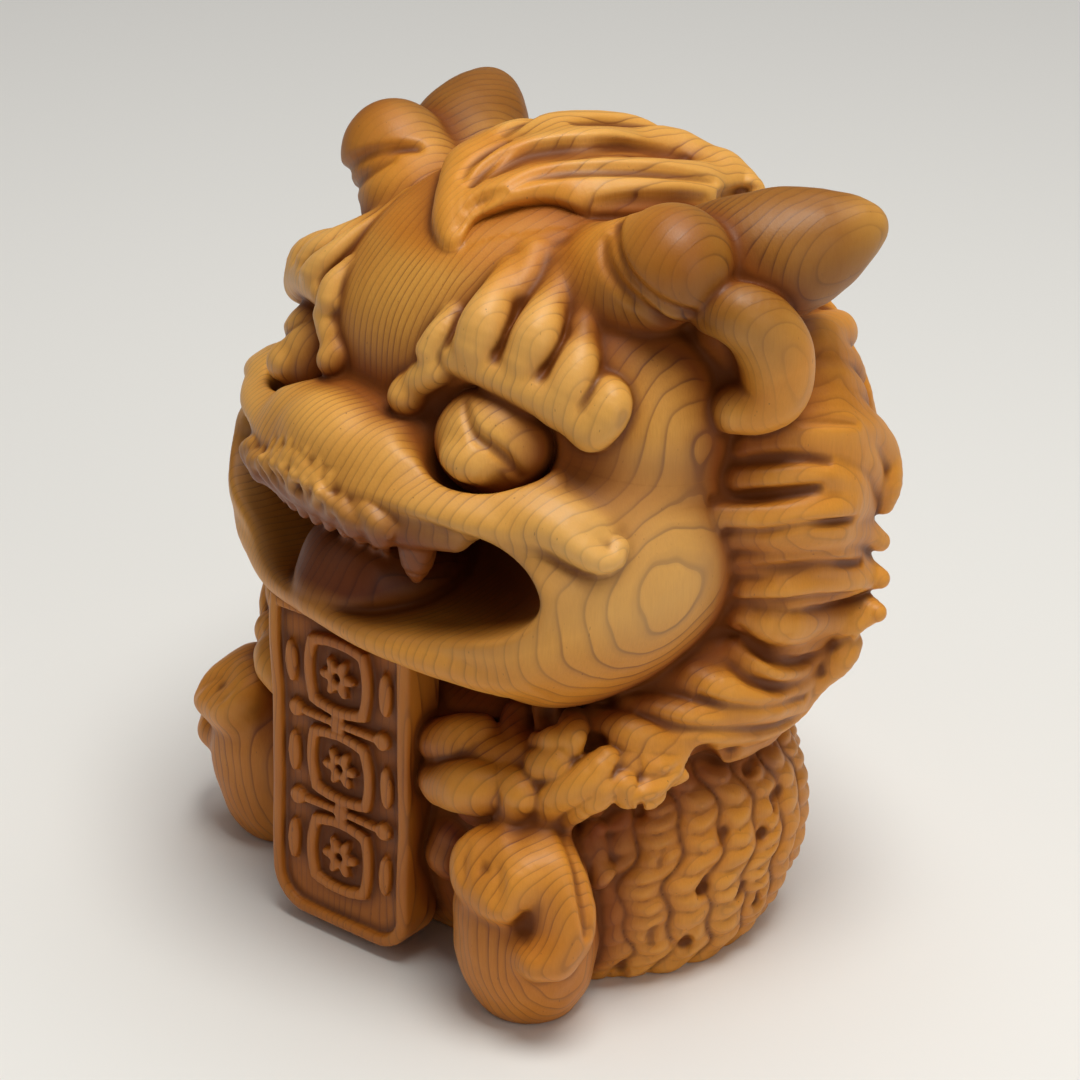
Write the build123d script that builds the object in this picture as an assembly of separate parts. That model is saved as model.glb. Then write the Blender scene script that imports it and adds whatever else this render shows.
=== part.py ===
"""Seated guardian lion, a small carved wood figure holding a plaque.

Row frame: +Z up, the lion faces -Y, +X is the lion's own left. Origin at the
centre of the footprint box, on the face the figure rests on. Millimetres.

The real figure is carved out of one block, so every node here is one carved
feature of that block, cut so that each meets its neighbours face to face.
"""
import os

from build123d import *

# ---------------------------------------------------------------- sizes
HEIGHT = 80.0            # foot to the top of the crest
SHIFT_Y = -0.26          # added to every part, so the footprint box is centred

HEAD_C, HEAD_R = (0, 3, 52), (26.5, 23.5, 26.0)
BODY_C, BODY_R = (0, 3, 12), (26.5, 24.0, 24.0)
NECK_Z = 30.0            # plane between head and body

MOUTH_C, MOUTH_R = (0, -20.0, 42.2), (22.5, 14.5, 7.6)
JAW_C, JAW_R = (0, -7.0, 40.5), (26.0, 21.0, 12.0)
CHEEK_C, CHEEK_R = (15.5, -3.0, 45.5), (13.5, 15.5, 14.5)

TABLET_W, TABLET_T, TABLET_H = 17.8, 6.4, 31.0
TABLET_Y = -21.0         # middle of the plaque, front to back
TABLET_TURN = 14.0       # the plaque is cut a little askew, degrees about +Z
TABLET_CORNER = 4.2

FOOT_C, FOOT_R = (20.6, -16.8, 9.0), (7.2, 8.6, 10.2)
PAW_C = (16.5, -14.5, 22.0)

EYE_C, EYE_R = (15.0, -14.5, 56.8), 6.2
BALL_C, BALL_R = (22.3, -1.0, 73.2), 5.9
TIP_C, TIP_R = (28.2, 13.2, 74.6), 4.3


# ---------------------------------------------------------------- helpers
def ell(c, r, rot=(0, 0, 0)):
    """Ellipsoid with semi-axes r at c, turned by rot degrees."""
    return Pos(*c) * Rot(*rot) * scale(Sphere(1), by=tuple(r))


def ball(c, r):
    return Pos(*c) * Sphere(r)


def mir(s):
    return mirror(s, about=Plane.YZ)


def box(x0, x1, y0, y1, z0, z1):
    return Pos((x0 + x1) / 2, (y0 + y1) / 2, (z0 + z1) / 2) * Box(
        x1 - x0, y1 - y0, z1 - z0)


def taper(a, b, ra, rb):
    """Round-ended tapered limb from a (radius ra) to b (radius rb)."""
    va, vb = Vector(*a), Vector(*b)
    axis = vb - va
    plane = Plane(origin=va, z_dir=axis)
    cone = plane * Pos(0, 0, axis.length / 2) * Cone(ra, rb, axis.length)
    return cone + ball(a, ra) + ball(b, rb)


def main_solid(s):
    """The largest solid of a result, without the crumbs a cut may leave."""
    solids = sorted(s.solids(), key=lambda q: q.volume)
    return solids[-1]


def cut(s, *tools):
    """s less each tool that reaches it."""
    for t in tools:
        a, b = s.bounding_box(), t.bounding_box()
        if (a.min.X > b.max.X or b.min.X > a.max.X or a.min.Y > b.max.Y
                or b.min.Y > a.max.Y or a.min.Z > b.max.Z or b.min.Z > a.max.Z):
            continue
        s = s - t
        s = main_solid(s)
    return s


nodes = {}

# ---------------------------------------------------------------- head
above = box(-60, 60, -60, 60, NECK_Z, 120)
floor_up = box(-60, 60, -60, 60, 0, 120)
mouth = ell(MOUTH_C, MOUTH_R, (-10, 0, 0))
skull = ell(HEAD_C, HEAD_R)
head = main_solid((skull & above) - mouth)

# lower jaw: a wide bowl with a flared lip, open to the front
bowl = ell(JAW_C, JAW_R, (-8, 0, 0))
jaw_top = Pos(0, -18, 44.5) * Rot(28, 0, 0) * Box(80, 60, 40, align=(
    Align.CENTER, Align.CENTER, Align.MIN))
jaw = main_solid(bowl - jaw_top - mouth)
jaw = cut(jaw, head)

# tongue lies in the bowl
tongue = cut(ell((0, -14.5, 36.4), (8.6, 9.0, 3.6), (-8, 0, 0)), jaw, head)

# upper lip with its moustache ridge, over the mouth
lip = ell((0, -12.5, 51.3), (24.0, 15.5, 4.6), (-3, 0, 0))
lip = cut(lip, mouth, head)
nose = ell((0, -22.8, 54.6), (8.8, 5.4, 5.0), (-8, 0, 0))
nose = cut(nose, lip, head)

# canine teeth hang from the upper lip
tooth = cut(taper((11.0, -19.6, 48.6), (11.0, -20.6, 43.4), 2.2, 1.0), lip, head, jaw)

# eyes, brows
eye = ell(EYE_C, (EYE_R, 4.4, 5.6), (0, 0, 38))
eye = cut(eye, lip, head)
brow_lobes = [
    ((6.2, -18.2, 65.0), (2.2, 2.0, 3.6), (20, 14, 0)),
    ((10.8, -15.8, 66.8), (3.4, 3.2, 6.0), (38, 12, 20)),
    ((15.4, -13.2, 66.6), (3.2, 3.2, 6.0), (38, 4, 30)),
    ((19.6, -10.6, 64.6), (2.9, 3.0, 5.0), (30, -8, 45)),
    ((23.0, -8.4, 61.6), (2.7, 2.8, 3.6), (15, -20, 55)),
]
brow = None
for c, r, a in brow_lobes:
    e = ell(c, r, a)
    brow = e if brow is None else brow + e
brow = cut(brow, head, eye)

# hair crest: a thick swept sheet on the top of the head, peak to the front
crest_out = ell((0, 3.0, 52.6), (27.2, 24.6, 27.4))
with BuildPart() as crest_prism:
    with BuildSketch(Plane.XY.offset(60)):
        with BuildLine():
            Polyline((0, -12.5), (7, -8.5), (12.5, -3.5), (12.5, 9), (10.5, 20),
                     (6, 26.5), (-6, 26.5), (-10.5, 20), (-12.5, 9), (-12.5, -3.5),
                     (-7, -8.5), (0, -12.5))
        make_face()
    extrude(amount=30)
crest = main_solid(crest_out & crest_prism.part)
crest = cut(crest, skull)

# antlers: burr, front ball and rear prong
antler = taper((16.0, -3.5, 70.0), BALL_C, 6.4, BALL_R)
antler = antler + taper((20.5, 3.5, 71.5), TIP_C, 6.6, TIP_R)
antler = cut(antler, head, crest)

# ears: a drooping curled lobe with a hollow on the inner front side
ear = taper((24.6, 1.6, 67.6), (28.0, 5.2, 61.2), 4.2, 4.8)
ear = ear - ell((25.0, -1.6, 62.0), (3.0, 4.2, 5.6), (0, 0, 25))
ear = cut(main_solid(ear), head, antler)

# cheeks
cheek = ell(CHEEK_C, CHEEK_R)
cheek = cut(cheek, mouth, head, jaw, lip, eye, ear)

# mane: locks standing out behind the cheeks and ears
mane_side = ell((9.0, 10.5, 49.5), (22.5, 17.5, 24.5)) & box(0, 60, 3.0, 24.0, 26.5, 90)
mane_side = cut(main_solid(mane_side), head, antler, ear, cheek, crest, jaw)
mane_back = ell((0, 9.5, 48.5), (27.5, 19.0, 25.0)) & box(-21.5, 21.5, 12.0, 60, 26.5, 90)
mane_back = cut(main_solid(mane_back), head, crest)

# ---------------------------------------------------------------- plaque
with BuildPart() as plaque_bp:
    with BuildSketch(Plane.XZ.offset(TABLET_T / 2)):
        with Locations((0, TABLET_H / 2)):
            r = Rectangle(TABLET_W, TABLET_H)
        fillet(r.vertices().sort_by(Axis.Y)[:2], TABLET_CORNER)
    extrude(amount=-TABLET_T)
plaque = Pos(0, TABLET_Y, 0) * Rot(0, 0, TABLET_TURN) * plaque_bp.part
plaque = cut(main_solid(plaque), jaw, head)

# ---------------------------------------------------------------- body
trunk = main_solid(ell(BODY_C, BODY_R) & box(-60, 60, -60, 60, 0, NECK_Z))
jaw = cut(jaw, trunk)
tongue = cut(tongue, trunk)
body = cut(trunk, plaque)

# ---------------------------------------------------------------- feet and paws
foot = ell(FOOT_C, FOOT_R, (0, 0, 0)) & floor_up
toes = [((15.2, -20.8, 14.4), 2.3), ((18.0, -20.6, 14.2), 2.9),
        ((21.6, -20.0, 13.0), 3.2), ((25.4, -17.8, 9.8), 3.0)]
for c, r in toes:
    foot = foot + ball(c, r)
foot = cut(main_solid(foot), plaque, trunk)

paw = taper((21.5, -8.0, 24.5), (15.2, -15.0, 21.5), 6.0, 5.0)
for c, r in [((15.4, -18.0, 25.4), 2.8), ((15.6, -18.6, 21.4), 2.9), ((16.0, -18.0, 17.6), 2.6)]:
    paw = paw + ball(c, r)
paw = cut(main_solid(paw), plaque, trunk, foot, jaw, cheek, head)

haunch = ell((17.2, 6.0, 12.0), (11.2, 17.5, 16.5)) & floor_up
haunch = cut(main_solid(haunch), trunk, foot, paw)
tail = ell((0, 24.2, 13.5), (6.0, 4.2, 12.5), (-8, 0, 0)) & floor_up
tail = cut(main_solid(tail), trunk)

mane_side = cut(mane_side, mane_back, trunk, haunch, paw)
mane_back = cut(mane_back, trunk, haunch, mir(haunch), tail)
mane_side_r, paw_r, foot_r, haunch_r = mir(mane_side), mir(paw), mir(foot), mir(haunch)

nodes = {
    "head": head, "lower_jaw": jaw, "tongue": tongue, "upper_lip": lip, "nose": nose,
    "left_canine": tooth, "right_canine": mir(tooth),
    "left_eye": eye, "right_eye": mir(eye),
    "left_brow": brow, "right_brow": mir(brow),
    "hair_crest": crest,
    "left_antler": antler, "right_antler": mir(antler),
    "left_ear": ear, "right_ear": mir(ear),
    "left_cheek": cheek, "right_cheek": mir(cheek),
    "left_mane": mane_side, "right_mane": mane_side_r, "back_mane": mane_back,
    "plaque": plaque,
    "left_hind_foot": foot, "right_hind_foot": foot_r,
    "left_front_paw": paw, "right_front_paw": paw_r,
    "left_haunch": haunch, "right_haunch": haunch_r,
    "tail": tail, "body": body,
}

os.makedirs("parts", exist_ok=True)
lo = [min(tuple(s.bounding_box().min)[i] for s in nodes.values()) for i in range(3)]
hi = [max(tuple(s.bounding_box().max)[i] for s in nodes.values()) for i in range(3)]
print("box", [round(v, 2) for v in lo], [round(v, 2) for v in hi])
for name, s in nodes.items():
    s = Pos(0, SHIFT_Y, 0) * s
    n = len(s.solids())
    print(f"{name:18s} solids {n} volume {s.volume:9.1f}")
    export_step(s, f"parts/{name}.step")
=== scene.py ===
"""Guardian lion in carved wood: what it looks like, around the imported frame.

The surface is carved in numbers first: a distance value for every point of a
fine grid, one smooth surface for the whole block, from which each carved
feature is then cut out as its own closed mesh. The left half is carved and the
right half is its mirror image, with a slight hand-cut difference added last.
Sizes in the carving are millimetres in the row frame; meshes are in metres.
"""
import math

import bpy
import numpy as np
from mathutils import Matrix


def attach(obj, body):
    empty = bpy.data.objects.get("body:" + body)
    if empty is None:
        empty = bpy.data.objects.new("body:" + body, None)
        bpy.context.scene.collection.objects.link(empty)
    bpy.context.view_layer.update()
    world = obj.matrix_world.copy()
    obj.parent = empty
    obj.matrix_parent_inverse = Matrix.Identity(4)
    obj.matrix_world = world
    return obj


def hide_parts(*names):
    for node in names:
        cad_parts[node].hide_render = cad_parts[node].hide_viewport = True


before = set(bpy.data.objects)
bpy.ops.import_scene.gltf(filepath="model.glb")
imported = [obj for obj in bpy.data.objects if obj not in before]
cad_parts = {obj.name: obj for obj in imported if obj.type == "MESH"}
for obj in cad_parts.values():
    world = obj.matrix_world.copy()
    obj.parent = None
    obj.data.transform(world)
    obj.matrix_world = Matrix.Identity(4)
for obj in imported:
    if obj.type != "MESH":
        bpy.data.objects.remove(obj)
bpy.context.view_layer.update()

import openvdb
from mathutils import Matrix, Vector

H = 0.25        # grid step, mm
SHIFT_Y = -0.26                         # the row frame's offset of the block, mm

# ------------------------------------------------------------------ distance grids
F = np.float32
BIG = 5.0

def smin(a, b, k):
    if k <= 0: return np.minimum(a, b)
    h = np.maximum(k - np.abs(a - b), 0) * F(1.0 / k)
    return np.minimum(a, b) - h * h * F(k * 0.25)

def smax(a, b, k):
    return -smin(-a, -b, k)

class Grid:
    def __init__(s, h, hi=(34.0, 30.0, 82.0), lo_y=-31.0, lo_z=-1.5):
        s.h = h
        n = [int(np.ceil(hi[0] / h)), int(np.ceil((hi[1] - lo_y) / h)), int(np.ceil((hi[2] - lo_z) / h))]
        s.n = n
        s.o = np.array([0.5 * h, lo_y, lo_z])
        s.ax = [(s.o[i] + h * np.arange(n[i])).astype(F) for i in range(3)]
    def rng(s, lo, hi):
        r = []
        for i in range(3):
            a = int(np.floor((lo[i] - s.o[i]) / s.h)); b = int(np.ceil((hi[i] - s.o[i]) / s.h)) + 1
            r.append((max(a, 0), min(max(b, 0), s.n[i])))
        return r

class Field:
    """Distance values on a box of the grid."""
    def __init__(s, g, lo, hi, fill=BIG):
        s.g = g; s.r = g.rng(lo, hi)
        s.a = np.full([b - a for a, b in s.r], fill, F)
    def sub(s, lo, hi):
        q = s.g.rng(lo, hi)
        sl = []; ax = []
        for i in range(3):
            a = max(q[i][0], s.r[i][0]); b = min(q[i][1], s.r[i][1])
            if b <= a: return None, None
            sl.append(slice(a - s.r[i][0], b - s.r[i][0]))
            shp = [1, 1, 1]; shp[i] = b - a
            ax.append(s.g.ax[i][a:b].reshape(shp))
        return tuple(sl), ax
    def put(s, prim, k=0.0, op='u', m=None):
        """op u union, s subtract, i intersect"""
        mm = m if m is not None else 1.2 + k
        if len(prim) > 1:
            # a swept shape: its own segments first, then one blend into the field
            lo_ = np.min([p[1] for p in prim], 0) - mm
            hi_ = np.max([p[2] for p in prim], 0) + mm
            sl, ax = s.sub(lo_, hi_)
            if sl is None: return s
            t = Field(s.g, lo_, hi_, 1e3)
            for fn, lo, hi in prim:
                ts, tx = t.sub([v - mm for v in lo], [v + mm for v in hi])
                if ts is not None: t.a[ts] = np.minimum(t.a[ts], fn(*tx))
            cut_ = tuple(slice(a.start + r[0] - q[0], a.stop + r[0] - q[0]) for a, r, q in zip(sl, s.r, t.r))
            d = t.a[cut_]
            s.a[sl] = smin(s.a[sl], d, k) if op == 'u' else smax(s.a[sl], -d, k)
            return s
        for fn, lo, hi in prim:
            if op == 'i':
                sl, ax = tuple([slice(None)] * 3), [s.g.ax[i][s.r[i][0]:s.r[i][1]].reshape([-1 if j == i else 1 for j in range(3)]) for i in range(3)]
            else:
                sl, ax = s.sub([v - mm for v in lo], [v + mm for v in hi])
                if sl is None: continue
            d = fn(*ax)
            A = s.a[sl]
            if op == 'u': s.a[sl] = smin(A, d, k)
            elif op == 's': s.a[sl] = smax(A, -d, k)
            else: s.a[sl] = smax(A, d, k)
        return s

def rotm(rx, ry, rz):
    a, b, c = np.radians([rx, ry, rz])
    X = np.array([[1, 0, 0], [0, np.cos(a), -np.sin(a)], [0, np.sin(a), np.cos(a)]])
    Y = np.array([[np.cos(b), 0, np.sin(b)], [0, 1, 0], [-np.sin(b), 0, np.cos(b)]])
    Z = np.array([[np.cos(c), -np.sin(c), 0], [np.sin(c), np.cos(c), 0], [0, 0, 1]])
    return Z @ Y @ X

def ell(c, r, rot=(0, 0, 0)):
    M = rotm(*rot); c = np.array(c, float); r = np.array(r, float)
    ext = np.sqrt((M ** 2) @ (r ** 2))
    def fn(X, Y, Z):
        x = X - F(c[0]); y = Y - F(c[1]); z = Z - F(c[2])
        k0 = 0; k1 = 0
        for i in range(3):
            l = x * F(M[0, i]) + y * F(M[1, i]) + z * F(M[2, i])
            q = l * F(1 / r[i]); k0 = k0 + q * q; q = q * F(1 / r[i]); k1 = k1 + q * q
        k0 = np.sqrt(k0); k1 = np.sqrt(k1) + F(1e-6)
        return k0 * (k0 - 1) / k1
    return [(fn, c - ext, c + ext)]

def seg(a, b, ra, rb):
    a = np.array(a, float); b = np.array(b, float); ab = b - a; L2 = max(float(ab @ ab), 1e-9)
    def fn(X, Y, Z):
        x = X - F(a[0]); y = Y - F(a[1]); z = Z - F(a[2])
        t = np.clip((x * F(ab[0]) + y * F(ab[1]) + z * F(ab[2])) * F(1 / L2), 0, 1)
        x = x - t * F(ab[0]); y = y - t * F(ab[1]); z = z - t * F(ab[2])
        return np.sqrt(x * x + y * y + z * z) - (F(ra) + t * F(rb - ra))
    R = max(ra, rb)
    return [(fn, np.minimum(a, b) - R, np.maximum(a, b) + R)]

def spline(P, step=1.2):
    """Catmull-Rom through control rows (any number of columns)."""
    P = np.array(P, float)
    if len(P) == 2: Q = P
    else:
        E = np.vstack([2 * P[0] - P[1], P, 2 * P[-1] - P[-2]]); Q = []
        for i in range(1, len(E) - 2):
            n = max(1, int(np.ceil(np.linalg.norm(E[i + 1, :3] - E[i, :3]) / step)))
            t = np.linspace(0, 1, n, endpoint=False)[:, None]
            p0, p1, p2, p3 = E[i - 1], E[i], E[i + 1], E[i + 2]
            Q.append(0.5 * ((2 * p1) + (-p0 + p2) * t + (2 * p0 - 5 * p1 + 4 * p2 - p3) * t ** 2 + (-p0 + 3 * p1 - 3 * p2 + p3) * t ** 3))
        Q.append(E[-2][None]); Q = np.vstack(Q)
    Q[:, 3:] = np.maximum(Q[:, 3:], 0.05)
    return Q

def tube(P, step=1.2):
    """P rows x,y,z,r."""
    Q = spline(P, step); out = []
    for i in range(len(Q) - 1):
        out += seg(Q[i, :3], Q[i + 1, :3], Q[i, 3], Q[i + 1, 3])
    return out

def lock(P, c=(0, 3, 52), grooves=0, depth=0.0, flat=0.6, step=1.3, lift=0.0):
    """Flattened swept lock. P rows x,y,z,w (half width across the surface);
    thickness is flat*w along the outward direction from centre c."""
    Q = spline(P, step); c = np.array(c, float); out = []
    for i in range(len(Q) - 1):
        a, b = Q[i, :3].copy(), Q[i + 1, :3].copy(); wa, wb = Q[i, 3], Q[i + 1, 3]
        e = b - a; L = np.linalg.norm(e); e = e / max(L, 1e-6)
        n = (a + b) / 2 - c; n = n - (n @ e) * e; n = n / np.linalg.norm(n); sd = np.cross(e, n)
        if lift: a = a + n * lift; b = b + n * lift
        def fn(X, Y, Z, a=a, e=e, n=n, sd=sd, L=L, wa=wa, wb=wb):
            x = X - F(a[0]); y = Y - F(a[1]); z = Z - F(a[2])
            te = x * F(e[0]) + y * F(e[1]) + z * F(e[2])
            tn = x * F(n[0]) + y * F(n[1]) + z * F(n[2])
            ts = x * F(sd[0]) + y * F(sd[1]) + z * F(sd[2])
            t = np.clip(te * F(1 / L), 0, 1); w = F(wa) + t * F(wb - wa); te = te - t * F(L)
            qw = ts / w; qh = tn / (w * F(flat)); qe = te / (w * F(flat))
            k0 = np.sqrt(qw * qw + qh * qh + qe * qe) + F(1e-6)
            k1 = np.sqrt((qw / w) ** 2 + (qh / (w * F(flat))) ** 2 + (qe / (w * F(flat))) ** 2) + F(1e-6)
            d = k0 * (k0 - 1) / k1
            if grooves:
                d = d + F(depth) * (0.5 + 0.5 * np.cos(np.clip(qw, -1.2, 1.2) * F(np.pi * grooves))) * np.minimum(w * F(0.6), 1)
            return d
        R = max(wa, wb) * max(1, flat)
        out.append((fn, np.minimum(a, b) - R, np.maximum(a, b) + R))
    return out

class Noise:
    def __init__(s, seed, n=32):
        s.t = np.random.RandomState(seed).rand(n, n, n).astype(F) * 2 - 1; s.n = n
    def __call__(s, x, y, z):
        x, y, z = np.broadcast_arrays(x, y, z)
        i = np.floor(x).astype(np.int32); j = np.floor(y).astype(np.int32); k = np.floor(z).astype(np.int32)
        u = (x - i).astype(F); v = (y - j).astype(F); w = (z - k).astype(F)
        u = u * u * (3 - 2 * u); v = v * v * (3 - 2 * v); w = w * w * (3 - 2 * w)
        n = s.n; i0 = i % n; i1 = (i + 1) % n; j0 = j % n; j1 = (j + 1) % n; k0 = k % n; k1 = (k + 1) % n
        t = s.t
        a = t[i0, j0, k0] * (1 - u) + t[i1, j0, k0] * u
        b = t[i0, j1, k0] * (1 - u) + t[i1, j1, k0] * u
        c = t[i0, j0, k1] * (1 - u) + t[i1, j0, k1] * u
        d = t[i0, j1, k1] * (1 - u) + t[i1, j1, k1] * u
        return (a * (1 - v) + b * v) * (1 - w) + (c * (1 - v) + d * v) * w


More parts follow.
